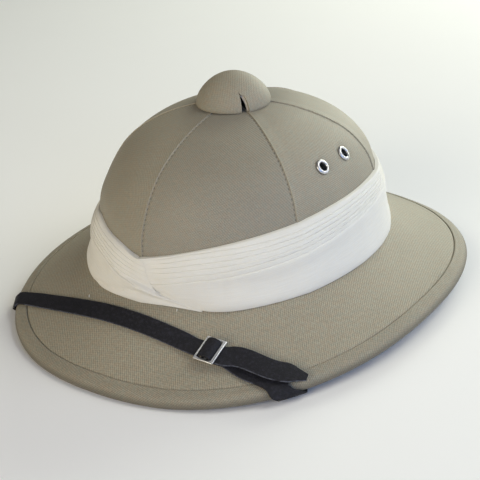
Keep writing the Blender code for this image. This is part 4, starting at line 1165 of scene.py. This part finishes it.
# columns: inset from the edge, how far proud of the brim's slope (mm)
BINDING_UPPER = ((9.0, -1.0), (8.98, -0.45), (8.88, -0.08), (8.6, 0.16), (8.15, 0.34), (7.6, 0.36),
                 (6.9, 0.24), (6.1, 0.24), (5.2, 0.34), (4.2, 0.36), (3.2, 0.24), (2.3, 0.02),
                 (1.5, -0.45), (0.9, -1.05), (0.4, -1.8))


# its outer side. columns: inset, height above the brim's lift (mm)
BINDING_SIDE = ((0.08, 3.0), (0.0, 2.4), (0.12, 1.6), (0.5, 0.8), (0.95, 0.25))
# its underside. columns: inset, how far below the brim (mm)
BINDING_UNDER = ((4.8, 0.9), (6.2, 0.75), (7.5, 0.95), (8.4, 1.0), (8.9, 0.7), (9.0, 0.3))
BINDING_COLUMNS = 360
PUCKERED_ROWS = range(2, 14)


def make_binding():
    """Bias-cut strip folded over the brim's edge."""

    def section(bearing):
        rim, lift = rim_radius(bearing), rim_lift(bearing)

        def from_slope(inset, proud):
            return rim - inset, brim_top(bearing, rim - inset) + proud

        line = [from_slope(inset * MM, proud * MM) for inset, proud in BINDING_UPPER]
        line += [(rim - inset * MM, lift + height * MM) for inset, height in BINDING_SIDE]
        line += [(rim - inset, lift) for inset in BINDING_FLAT]
        line += [from_slope(inset * MM, -BRIM_THICKNESS - drop * MM)
                 for inset, drop in BINDING_UNDER]
        line += [from_slope(BINDING_WALL, 0.1 * MM - BRIM_THICKNESS),
                 from_slope(BINDING_WALL, -BINDING_TOP)]
        return line

    bearings = [math.tau * i / BINDING_COLUMNS for i in range(BINDING_COLUMNS + 1)]
    sections = [section(b) for b in bearings]
    rows = len(sections[0])
    around = lengths_along([polar(b, rim_radius(b), 0.0) for b in bearings])
    climb = lengths_along([Vector(point) for point in sections[0] + sections[0][:1]])

    def place(column, row):
        column, row = column % BINDING_COLUMNS, row % rows
        radius, height = sections[column][row]
        if row in PUCKERED_ROWS:
            length = around[column]
            pucker = noise.noise(Vector((length * 130.0, row * 0.12, 3.0)))
            height += 0.16 * MM * pucker * bell(row, 5.0, 5.0)
            radius += 0.12 * MM * noise.noise(Vector((length * 70.0, 9.0, 1.0))) * (row < 5)
        return polar(bearings[column], radius, height)

    def cloth(column, row, first):
        return around[column], climb[row]

    bm = bent_grid(BINDING_COLUMNS, rows, place, {"cloth": cloth})
    add_piece("edge_binding_cloth", bm, binding_twill, ["edge_binding"],
              sharp=60.0)


# ---------------------------------------------------------------- puggaree


def wobble(degrees, pleat, seed):
    """Slow wandering of a pleat's line, as a share of a pleat."""
    return 0.30 * noise.noise(Vector((degrees * 0.035, pleat * 3.7, seed)))


def cloth_offset(degrees, height):
    """How far the crown's cloth stands from the plain crown at a height."""
    sweep = crown_sweep(height)
    return crown_relief(degrees, crown_point(math.radians(degrees), sweep)) + 0.05 * MM


# Both wraps are worked out at one bearing after another. A section's line is a list of
# (height, distance out from the crown).

FLARE = (38.0 * MM, 50.0 * MM)      # heights between which a wrap comes off the brim
NO_LIMIT = 1.0                      # above everything
BAND_CLEAR, FOOT_CLEAR, INSIDE_CLEAR = 0.45 * MM, 0.3 * MM, 0.4 * MM    # from the brim
# the upper edge, rolled over. columns: how far down (mm), share of the way in to the rim
ROLLED_EDGE = ((0.3, 0.3), (0.0, 0.62), (0.05, 0.95), (1.2, 1.0))
# rows down a wrap's inside, as shares of its height
INSIDE_ROWS = (0.9, 0.75, 0.55, 0.3, 0.1, 0.0)

Section = namedtuple("Section", (
    "degrees", "fold", "high",      # the pleats' lowest line and the upper edge
    "limit",                        # height at which the crossing cuts the pleats off
    "rim",                          # distance out of the upper edge
    "inner", "outer", "relief",     # functions of height: the two sides, and the band's relief
    "lines", "fade", "deep",        # the pleats' table, their strength, the lowest one's crease
    "seed"))


def near_top(height, high, reach):
    """1 at a wrap's upper edge, fading below it over the reach."""
    return math.exp(min(0.0, height - high) / reach)


def near_brim(height):
    """1 where a wrap lies on the brim, 0 where it lies on the crown."""
    return 1.0 - ease(height, *FLARE)


def band_line(wrap):
    """Outside of the plain band, from the brim up to the lowest pleat."""
    foot = crown_outside(math.radians(wrap.degrees), FOOT_HEIGHT,
                         wrap.outer(FOOT_HEIGHT) - FOOT_CLEAR)
    low = min(brim_top_at(foot.x, foot.y) + BAND_CLEAR, wrap.fold - 0.25 * MM)
    flatten = min(1.0, (wrap.fold - low) / (6.0 * MM))
    line = []
    for share, back in BAND_SHAPE:
        height = mix(low, wrap.fold, share)
        depth = wrap.outer(height) - back * flatten * MM + wrap.relief(height, share)
        line.append((height, depth))
    return line


def pleat_line(wrap):
    """Outside of the pleats, which lie down on the other wrap above the limit."""
    aside = ease(abs(wrap.degrees), 20.0, 60.0)
    heights = [mix(wrap.fold, wrap.high, mix(front, side, aside)) for front, side in wrap.lines]
    for k in range(1, PLEATS):
        heights[k] += 0.4 * wobble(wrap.degrees, k, wrap.seed) * (wrap.high - wrap.fold) / PLEATS
    line = []
    for k in range(PLEATS):
        step = PLEAT_STEP * (mix(wrap.fade, 1.0, 0.6) if k == 0 else wrap.fade)
        step *= 0.9 + 0.4 * noise.noise(Vector((wrap.degrees * 0.03, k * 5.3, wrap.seed)))
        for share, back in PLEAT_SHAPE:
            height = mix(heights[k], heights[k + 1], share)
            depth = wrap.outer(height) - step * back
            if k == 0:
                depth -= wrap.deep * bell(share, 0.03, 0.09)
            over = height - wrap.limit
            if over > 0.0:
                depth = mix(depth, wrap.inner(wrap.limit) + 0.05 * MM, ease(over, 0.0, 1.0 * MM))
                height = wrap.limit + 0.02 * over
            line.append((height, depth))
    return line


def wrap_points(wrap):
    """Outside, top and inside of a wrap, from its lower edge and back to it."""
    line = band_line(wrap) + pleat_line(wrap)
    top = min(wrap.high, wrap.limit)
    last = line.pop()[1]
    line += [(top - down * MM, mix(last, wrap.rim, share)) for down, share in ROLLED_EDGE]
    for share in INSIDE_ROWS:
        height = mix(FOOT_HEIGHT, top - 1.0 * MM, share)
        line.append((height, wrap.inner(height)))
    bearing = math.radians(wrap.degrees)
    points = [crown_outside(bearing, height, depth) for height, depth in line]
    for end, clear in ((points[0], FOOT_CLEAR), (points[-1], INSIDE_CLEAR)):
        end.z = brim_top_at(end.x, end.y) + clear
    return points


def drape(points, degrees, seed, strength):
    """Soft tension lines along a wrap's outside."""
    count = len(points) - len(INSIDE_ROWS) - 1
    for i, point in enumerate(points[:count]):
        free = ease(i, 0, 5) * (1.0 - ease(i, count - 4, count))
        if i < len(BAND_SHAPE):
            across = 4.0 * BAND_SHAPE[i][0]
        else:
            pleat, row = divmod(i - len(BAND_SHAPE), len(PLEAT_SHAPE))
            across = 4.0 + 0.6 * (pleat + PLEAT_SHAPE[row][0])
        here = Vector((math.radians(degrees) * 2.0, across, seed))
        shift = 0.6 * noise.noise(here)
        point += polar(math.radians(degrees), shift * MM * free * strength, 0.0)
    return points


GUIDE_ROW = 5                       # the row along which a wrap's cloth is measured


def make_wrap(name, node, bearings, section):
    """One wrap of the puggaree, from its sections at the bearings."""
    lines = [section(degrees) for degrees in bearings]
    columns, rows = len(bearings) - 1, len(lines[0])
    around = lengths_along([line[GUIDE_ROW] for line in lines])
    middle = lines[len(lines) // 2]
    climb = lengths_along(middle + middle[:1])

    def place(column, row):
        return lines[column][row % rows]

    def cloth(column, row, first):
        return around[column], climb[row]

    bm = bent_grid(columns, rows, place, {"cloth": cloth})
    close_ends(bm)
    wrap = add_piece(name, bm, puggaree_cotton, [node], sharp=75.0)


# a wrap's columns. columns: first bearing, last bearing, step
RIGHT_COLUMNS = ((RIGHT_WRAP[0], 130.0, 0.5), (130.0, RIGHT_WRAP[1], 0.9))
LEFT_COLUMNS = ((LEFT_WRAP[0], -40.0, 0.9), (-40.0, 0.0, 0.6), (0.0, 9.0, 0.12),
                (9.0, LEFT_WRAP[1], 0.5))


def spread(stops):
    """The bearings of a wrap's columns."""
    bearings = []
    for first, last, step in stops:
        count = max(1, round((last - first) / step))
        bearings += [mix(first, last, i / count) for i in range(count)]
    bearings.append(stops[-1][1])
    return bearings


def right_face(degrees, height):
    """How far the right wrap's outside stands from the crown, without its pleats."""
    over = read_table(LEFT_FOLD, degrees) * MM
    pressed = ease(height - over, 0.3 * MM, 4.5 * MM)
    below = ease(degrees, 10.0, 25.0) * (1.0 - pressed)
    beside = ease(degrees, 4.0, 14.0) * 0.86 * pressed
    full = max(ease(degrees, 21.0, 36.0), below, beside)
    return mix(UNDER_DEPTH, read_table(RIGHT_DEPTH, degrees) * MM, full)


def right_section(degrees):
    """The right wrap at one bearing: thin at its upper edge, flared over the brim."""
    high = read_table(HIDDEN_TOP if degrees < 0.0 else RIGHT_TOP, degrees) * MM
    fold = min(read_table(RIGHT_FOLD, degrees) * MM, high - 6.0 * MM)
    lean = mix(0.8, 0.3, ease(degrees, 50.0, 100.0)) * ease(degrees, 0.0, 14.0) * MM
    shown = ease(degrees, 0.0, 18.0)
    rounding = mix(3.4, 0.9, ease(degrees, 78.0, 108.0)) * shown * MM
    edge = read_table(RIGHT_FOOT, degrees) * MM
    flare = ease(degrees, 20.0, 26.0)

    def inner(height):
        return PUGGAREE_CLEAR

    def outer(height):
        inwards = rounding * near_top(height, high, 4.5 * MM)
        inwards += 0.5 * MM * near_top(height, high, 1.0 * MM) * shown
        inwards += lean * ease(height, fold, high + 4.0 * MM)
        return mix(right_face(degrees, height) - inwards, edge, flare * near_brim(height))

    def relief(height, share):
        shift = -0.35 * MM * bell(share, 0.70, 0.15) * ease(degrees, 35.0, 75.0)
        # a soft sunken fold beside the crossing, and shallow hollows along the band
        shift -= 0.6 * MM * bell(degrees, 10.0, 6.0) * bell(height / MM, 45.2, 1.3)
        shift += 0.35 * MM * bell(degrees, 30.0, 14.0) * bell(height / MM, 47.0, 3.0)
        return shift

    fade = mix(0.15, 0.9, ease(degrees, 2.5, 12.0)) * mix(1.0, 1.3, ease(degrees, 45.0, 75.0))
    points = wrap_points(Section(degrees, fold, high, NO_LIMIT, cloth_offset(degrees, high),
                                 inner, outer, relief, RIGHT_LINES, fade, 0.0, 1.5))
    return drape(points, degrees, 2.0, 0.3)


def left_section(degrees):
    """The left wrap at one bearing: full at the side, flush with the other where they cross."""
    fold = read_table(LEFT_FOLD, degrees) * MM
    high = max(read_table(LEFT_TOP, degrees) * MM, fold + 0.6 * MM)
    limit = read_table(LEFT_CUT, degrees) * MM if degrees > LEFT_CUT[0][0] else NO_LIMIT
    lifted = ease(degrees, -16.0, -8.0)
    met = ease(degrees, -14.0, 1.0)
    thin = 0.4 * MM * ease(degrees, 6.0, 24.6)
    rounding = mix(5.5, 4.8, ease(degrees, -50.0, -30.0)) * MM
    edge = read_table(LEFT_FOOT, degrees) * MM

    def inner(height):
        return mix(PUGGAREE_CLEAR, right_face(degrees, height) + 0.03 * MM, lifted)

    def outer(height):
        inwards = rounding * near_top(height, high, 8.0 * MM)
        inwards += 1.3 * MM * near_top(height, high, 1.2 * MM)
        plain = LEFT_DEPTH - thin - inwards * (1.0 - ease(degrees, -4.0, 4.0))
        plain = mix(plain, edge, near_brim(height))
        # above its lowest fold it thins until it lies flush with the other wrap's pleats
        share = met * ease(height - fold, 0.0, 2.5 * MM)
        return mix(plain, inner(height) + 0.15 * MM, share)

    def relief(height, share):
        crease = mix(35.0, 42.6, (degrees + 31.0) / 28.0)
        strength = ease(degrees, -31.0, -24.0) * (1.0 - ease(degrees, -5.0, 3.0))
        shift = -1.9 * MM * bell(height / MM, crease, 1.3) * strength
        shift += 0.5 * MM * bell(height / MM, crease - 3.0, 1.6) * strength
        return shift

    fade = mix(0.6, 0.15, ease(degrees, -8.0, 3.0))
    if limit == NO_LIMIT:
        rim = mix(cloth_offset(degrees, high), inner(high), ease(degrees, -1.4, 0.2))
    else:
        rim = inner(min(high, limit))
    deep = 1.1 * MM * ease(degrees, -45.0, -30.0) * (1.0 - ease(degrees, -9.0, 0.0))
    points = wrap_points(Section(degrees, fold, high, limit, rim, inner, outer, relief,
                                 LEFT_LINES, fade, deep, 6.5))
    return drape(points, degrees, 8.0, 0.25)


# where a stitch of the puggaree's tacking thread shows on the brim. columns: across, forward (mm)
TACKS = ((-44.5, -114.4), (26.3, -110.9))
TACK_SIZE = (0.28 * MM, 0.28 * MM, 1.3 * MM)
TACK_RISE, TACK_LEAN = 0.8 * MM, math.radians(14.0)


def make_tacks():
    """Ends of the white tacking thread standing up from the brim."""
    bm = bmesh.new()
    for x, y in TACKS:
        middle = Vector((x * MM, y * MM, brim_top_at(x * MM, y * MM) + TACK_RISE))
        add_bead(bm, Matrix.Translation(middle) @ Matrix.Rotation(TACK_LEAN, 4, "Y"), TACK_SIZE, 8, 8)
    add_piece("tacking_thread", bm, puggaree_cotton, sharp=80.0)


# ---------------------------------------------------------------- chin strap


def station(point, normal, across=None, width=STRAP_WIDTH):
    """One place on a strap's way: its middle, its upper side, its way across and its width."""
    return point, normal, across, width


def over_brim(x, y, height, width=STRAP_WIDTH):
    """Station of a strap lying over the brim."""
    normal = brim_normal(x, y)
    return station(Vector((x, y, brim_top_at(x, y))) + normal * height, normal, None, width)


def rim_outline(bearing):
    """The binding's outside as the CAD has it, which the strap goes round."""
    rim, lift = rim_radius(bearing), rim_lift(bearing)

    def over(inset, proud):
        return rim - inset, brim_top(bearing, rim - inset) + proud

    return [over(BINDING_WIDTH, 0.0), over(5.5 * MM, BINDING_PLUMP), over(2.4 * MM, 0.1 * MM),
            over(0.6 * MM, -1.5 * MM), (rim, lift + 2.7 * MM), (rim - 0.45 * MM, lift + 1.0 * MM),
            (rim - BINDING_FLAT[0], lift), (rim - BINDING_FLAT[1], lift),
            over(BINDING_WIDTH, -BRIM_THICKNESS - BINDING_TOP - 0.1 * MM)]


def round_the_rim(bearings):
    """A strap's way over the binding and down to its underside."""
    first, last = (math.radians(value) for value in bearings)
    size = len(rim_outline(first))
    stations = []
    for i in range(1, size):
        bearing = first + (last - first) * (i - 1) / (size - 2)
        outline = rim_outline(bearing)
        radius, height = outline[i]
        slope = (Vector(outline[min(i + 1, size - 1)]) - Vector(outline[i - 1])).normalized()
        away = Vector((-slope.y, slope.x))
        middle = Vector((rim_radius(bearing) - 4.0 * MM, rim_lift(bearing) + 3.0 * MM))
        if away.dot(Vector((radius, height)) - middle) < 0.0:
            away = -away
        reach = STRAP_CLEAR + STRAP_THICKNESS / 2.0 + 0.15 * MM
        point = polar(bearing, radius + away.x * reach, height + away.y * reach)
        tangent = polar(bearing + 0.01, rim_radius(bearing + 0.01), rim_lift(bearing + 0.01))
        tangent -= polar(bearing - 0.01, rim_radius(bearing - 0.01), rim_lift(bearing - 0.01))
        stations.append((point, polar(bearing, away.x, away.y), tangent.normalized()))
    return stations


def toward_square(stations):
    """Gives each station its across direction, with the sign that its run asks for."""
    result = []
    for i, (point, normal, tangent) in enumerate(stations):
        behind = stations[max(i - 1, 0)][0]
        ahead = stations[min(i + 1, len(stations) - 1)][0]
        square = normal.cross(ahead - behind)
        result.append(station(point, normal, tangent if tangent.dot(square) > 0.0 else -tangent))
    return result


def contour(bearing):
    """Level direction along the crown's foot."""
    step = 0.01
    ahead = polar(bearing + step, foot_radius(bearing + step), 0.0)
    return (ahead - polar(bearing - step, foot_radius(bearing - step), 0.0)).normalized()


def under_brim(side, rim_bearing):
    """A strap's way under the brim, from its edge to the head opening."""
    stations = []
    for share, climb in UNDER_ROUTE:
        bearing = math.radians(rim_bearing + (side * OPENING_BEARING - rim_bearing) * share)
        radius = mix(rim_radius(bearing), foot_radius(bearing), climb)
        point = polar(bearing, radius, brim_top(bearing, radius))
        normal = -brim_normal(point.x, point.y)
        hang = BRIM_THICKNESS + STRAP_CLEAR + STRAP_THICKNESS / 2.0 + 0.8 * MM
        stations.append((point + normal * hang, normal, contour(bearing)))
    return stations


def up_the_wall(side):
    """A strap's way from the head opening up the crown's inner wall to its rivet."""
    stand = WALL_CLEAR + STRAP_THICKNESS / 2.0
    bearing = math.radians(side * CORNER_BEARING)
    inward = polar(bearing, -1.0, 0.0)
    corner = polar(bearing, foot_radius(bearing) - CROWN_WALL, FOOT_HEIGHT - FOOT_THICKNESS)
    normal = (inward + Vector((0.0, 0.0, -0.6))).normalized()
    stations = [(corner + normal * (stand + 0.8 * MM), normal, contour(bearing))]
    for degrees, height in WALL_ROUTE:
        bearing = math.radians(side * degrees)
        sweep = crown_sweep(height * MM, CROWN_WALL)
        inward = -crown_normal(bearing, max(sweep, 0.02), CROWN_WALL)
        level = Vector((0.0, 0.0, 1.0)).cross(inward).normalized()
        stations.append((crown_point(bearing, sweep, CROWN_WALL) + inward * stand, inward, level))
    return stations


def buckle_place():
    """Placement of the buckle: X along the strap, Z away from the brim."""
    x, y = BUCKLE_PLACE
    normal = brim_normal(x, y)
    yaw, tilt = math.radians(BUCKLE_YAW), math.radians(BUCKLE_TILT)
    along = Vector((math.cos(yaw), math.sin(yaw), 0.0))
    along = (along - normal * along.dot(normal)).normalized()
    along, normal = (along * math.cos(tilt) + normal * math.sin(tilt),
                     normal * math.cos(tilt) - along * math.sin(tilt))
    across = Matrix.Rotation(math.radians(BUCKLE_ROLL), 3, along) @ normal.cross(along)
    point = Vector((x, y, brim_top_at(x, y))) + brim_normal(x, y) * BUCKLE_STANDS
    axes = Matrix((along, across, along.cross(across))).transposed()
    return Matrix.Translation(point) @ axes.to_4x4()


def through_buckle(route):
    """A strap's way through the buckle. columns: along, away (mm), width (mm)."""
    place = buckle_place()
    stations = []
    for i, (along, away, width) in enumerate(route):
        before, after = route[max(i - 1, 0)], route[min(i + 1, len(route) - 1)]
        run = Vector((after[0] - before[0], after[1] - before[1])).normalized()
        normal = place.to_3x3() @ Vector((-run.y, 0.0, run.x))
        point = place @ Vector((along * MM, 0.0, away * MM))
        stations.append(station(point, normal, None, width * MM))
    return stations


WORN_FOR = 4.0 * MM                 # over which a strap's cut edge turns pale
NEW_HALF_WIDTH = 7.05 * MM          # where the strap is wider than this, its edge isn't worn
NEW_EDGE, WORN_EDGE = 0.9, 1.0      # the strap map's value at a dark and at a pale edge


def strap_outline():
    """Strap's section. Columns: share of the half width, mm in from the edge, share of half
    the thickness."""
    top = [(-1.0, 0.9, 1.0), (-0.5, 0.0, 1.0), (0.0, 0.0, 1.0), (0.5, 0.0, 1.0), (1.0, 0.9, 1.0)]
    right = [(1.0, 0.35, 0.9), (1.0, 0.08, 0.6), (1.0, 0.0, 0.0), (1.0, 0.08, -0.6),
             (1.0, 0.35, -0.9)]
    bottom = [(-a, inset, -o) for a, inset, o in top]
    left = [(-a, inset, -o) for a, inset, o in right]
    return top + right + bottom + left


def make_strap(name, stations, node, seed, dark_until=0.0):
    """Leather strap with rounded cut edges through a row of stations. Its edges are dark up to
    a length of dark_until."""
    frames = []
    last = len(stations) - 1
    for i, (point, normal, across, width) in enumerate(stations):
        run = (stations[min(i + 1, last)][0] - stations[max(i - 1, 0)][0]).normalized()
        square = normal.cross(run).normalized()
        out = run.cross(square) * (STRAP_THICKNESS / 2.0)
        lean = across if across is not None else square
        frames.append((point, lean * (width / 2.0 / lean.dot(square)), out))
    line = smooth_line(frames, 4)
    outline = strap_outline()
    length = lengths_along([middle for middle, _, _ in line])

    def place(column, row):
        point, edge, out = line[column]
        share, inset, lift = outline[row % len(outline)]
        half = edge.length
        reach = max(0.0, abs(share) * half - inset * MM)
        if abs(share) == 1.0:
            side = math.copysign(4.0, share)
            reach += 0.12 * MM * abs(noise.noise(Vector((length[column] * 170.0, side, seed))))
        return point + edge * (math.copysign(reach, share) / half) + out * lift

    def strap(column, row, first):
        share, inset, _ = outline[row % len(outline)]
        half = line[column][1].length
        if half > NEW_HALF_WIDTH:
            worn = NEW_EDGE
        elif dark_until:
            shown = ease(length[column], dark_until, dark_until + WORN_FOR)
            worn = mix(NEW_EDGE, WORN_EDGE, shown)
        else:
            worn = WORN_EDGE
        return length[column], share * (1.0 - inset * MM / half) * worn

    bm = bent_grid(len(line) - 1, len(outline), place, {"strap": strap})
    close_ends(bm)
    add_piece(name, bm, strap_leather, [node], sharp=60.0)


def make_straps():
    """The strap's long end, from its rivet through the buckle, and its short end."""
    rest = STRAP_CLEAR + STRAP_THICKNESS / 2.0
    hidden = round_the_rim(LONG_RIM) + under_brim(-1.0, LONG_RIM[1]) + up_the_wall(-1.0)
    stations = toward_square(hidden[::-1])
    for i in range(LONG_STEPS + 1):
        x = mix(LONG_START, LONG_STOP, i / LONG_STEPS)
        stations.append(over_brim(x, STRAP_FRONT_Y + STRAP_BEND * (x - STRAP_BEND_X) ** 2, rest))
    stations += through_buckle(LONG_WEAVE)
    stations += [over_brim(x * MM, y * MM, height * MM, width * MM)
                 for x, y, height, width in TAIL_ROUTE]
    make_strap("chin_strap_leather_long", stations, "chin_strap_long", 1.0)
    stations = through_buckle(SHORT_HOOK[::-1])
    stations += [over_brim(x * MM, y * MM, rest) for x, y in SHORT_ROUTE]
    stations += toward_square(round_the_rim(SHORT_RIM) + under_brim(1.0, SHORT_RIM[1])
                              + up_the_wall(1.0))
    make_strap("chin_strap_leather_short", stations, "chin_strap_short", 5.0, 16.0 * MM)


# ---------------------------------------------------------------- buckle, eyelets and rivets


def make_buckle():
    """Rectangular slide with softened edges, and the lower bar across its middle."""
    half_length, half_width = BUCKLE_LENGTH / 2.0, BUCKLE_WIDTH / 2.0
    bm = bmesh.new()
    bmesh.ops.create_cube(bm, size=1.0)
    bmesh.ops.scale(bm, vec=(BUCKLE_LENGTH, BUCKLE_WIDTH, BUCKLE_THICKNESS), verts=bm.verts)
    flats = [face for face in bm.faces if abs(face.normal.z) > 0.5]
    bmesh.ops.inset_individual(bm, faces=flats, thickness=FRONT_BAR, use_even_offset=True)
    for vert in {vert for face in flats for vert in face.verts}:
        vert.co.x = half_length - RIGHT_BAR if vert.co.x > 0.0 else LEFT_BAR - half_length
        vert.co.y = half_width - BACK_BAR if vert.co.y > 0.0 else FRONT_BAR - half_width
    rims = [edge for face in flats for edge in face.edges]
    bmesh.ops.delete(bm, geom=flats, context="FACES_ONLY")
    bmesh.ops.bridge_loops(bm, edges=rims)
    bmesh.ops.recalc_face_normals(bm, faces=bm.faces)
    sharp = [edge for edge in bm.edges if len(edge.link_faces) == 2
             and edge.calc_face_angle(0.0) > math.radians(60.0)]
    bmesh.ops.bevel(bm, geom=sharp, offset=0.42 * MM, segments=5, profile=0.5, affect="EDGES",
                    material=-1, clamp_overlap=True)
    bar = bmesh.ops.create_cube(bm, size=1.0)["verts"]
    window = BUCKLE_WIDTH - FRONT_BAR - BACK_BAR
    bmesh.ops.scale(bm, vec=(MIDDLE_BAR[0], window + 1.4 * MM, MIDDLE_BAR[1]), verts=bar)
    bmesh.ops.translate(bm, vec=(0.0, (FRONT_BAR - BACK_BAR) / 2.0, -MIDDLE_BAR_DROP), verts=bar)
    bar_edges = {edge for vert in bar for edge in vert.link_edges}
    bmesh.ops.bevel(bm, geom=list(bar_edges), offset=0.4 * MM, segments=4, profile=0.5,
                    affect="EDGES", material=-1, clamp_overlap=True)
    add_piece("buckle_slide", bm, buckle_nickel, ["strap_buckle"], sharp=60.0,
              place=buckle_place())


# an eyelet, turned. columns: radius, height (mm) from the crown's face
EYELET_PROFILE = ((2.85, -5.6), (2.85, -3.0), (2.85, 0.1), (2.9, 0.5), (3.05, 0.85), (3.3, 1.1),
                  (3.65, 1.22), (4.05, 1.18), (4.45, 1.0), (4.78, 0.72), (5.0, 0.42), (5.1, 0.15),
                  (5.0, 0.0), (3.35, 0.0), (3.3, -0.4), (3.3, -4.9), (3.7, -5.1), (4.2, -5.3),
                  (4.35, -5.6), (4.1, -5.85), (3.6, -5.9), (3.1, -5.8), (2.85, -5.6))


def make_eyelets():
    """Four rolled rings, each with a barrel through the crown's wall."""
    profile = [(radius * MM, height * MM) for radius, height in EYELET_PROFILE]
    for node, degrees in EYELET_BEARINGS.items():
        add_piece(node.replace("eyelet", "eyelet_ring"), turn_profile(profile, 48), eyelet_nickel,
                  [node], sharp=60.0, place=eyelet_place(degrees))


# a rivet's head. columns: radius, height (mm) from its seat on the strap
RIVET_DOME = ((0.0, 1.3), (0.9, 1.28), (1.8, 1.2), (2.6, 1.05), (3.3, 0.82), (3.75, 0.55),
              (3.96, 0.3), (4.0, 0.12), (3.9, 0.0))
RIVET_SEAT = WALL_CLEAR + STRAP_THICKNESS + 0.9 * MM
RIVET_FOOT = 0.6 * MM - CROWN_WALL


def make_rivets():
    """The strap's two rivets inside the crown."""
    profile = [(radius * MM, RIVET_SEAT + height * MM) for radius, height in RIVET_DOME]
    profile += [(RIVET_SHANK, RIVET_SEAT), (RIVET_SHANK, RIVET_FOOT + 0.2 * MM),
                (RIVET_SHANK - 0.2 * MM, RIVET_FOOT), (0.0, RIVET_FOOT)]
    for name, side in (("right", -1.0), ("left", 1.0)):
        bearing = math.radians(side * RIVET_BEARING)
        sweep = crown_sweep(RIVET_HEIGHT, CROWN_WALL)
        place = upright_frame(crown_point(bearing, sweep, CROWN_WALL),
                              -crown_normal(bearing, sweep, CROWN_WALL))
        add_piece(f"rivet_{name}", turn_profile(profile, 40), buckle_nickel,
                  [f"strap_rivet_{name}"], sharp=60.0, place=place)


# ---------------------------------------------------------------- putting it together

make_camera()
make_studio()
make_crown()
make_seam_stitches()
make_cap()
make_brim()
make_binding()
make_wrap("puggaree_right", "puggaree_right_wrap", spread(RIGHT_COLUMNS), right_section)
make_wrap("puggaree_left", "puggaree_left_wrap", spread(LEFT_COLUMNS), left_section)
make_tacks()
make_buckle()
make_straps()
make_eyelets()
make_rivets()
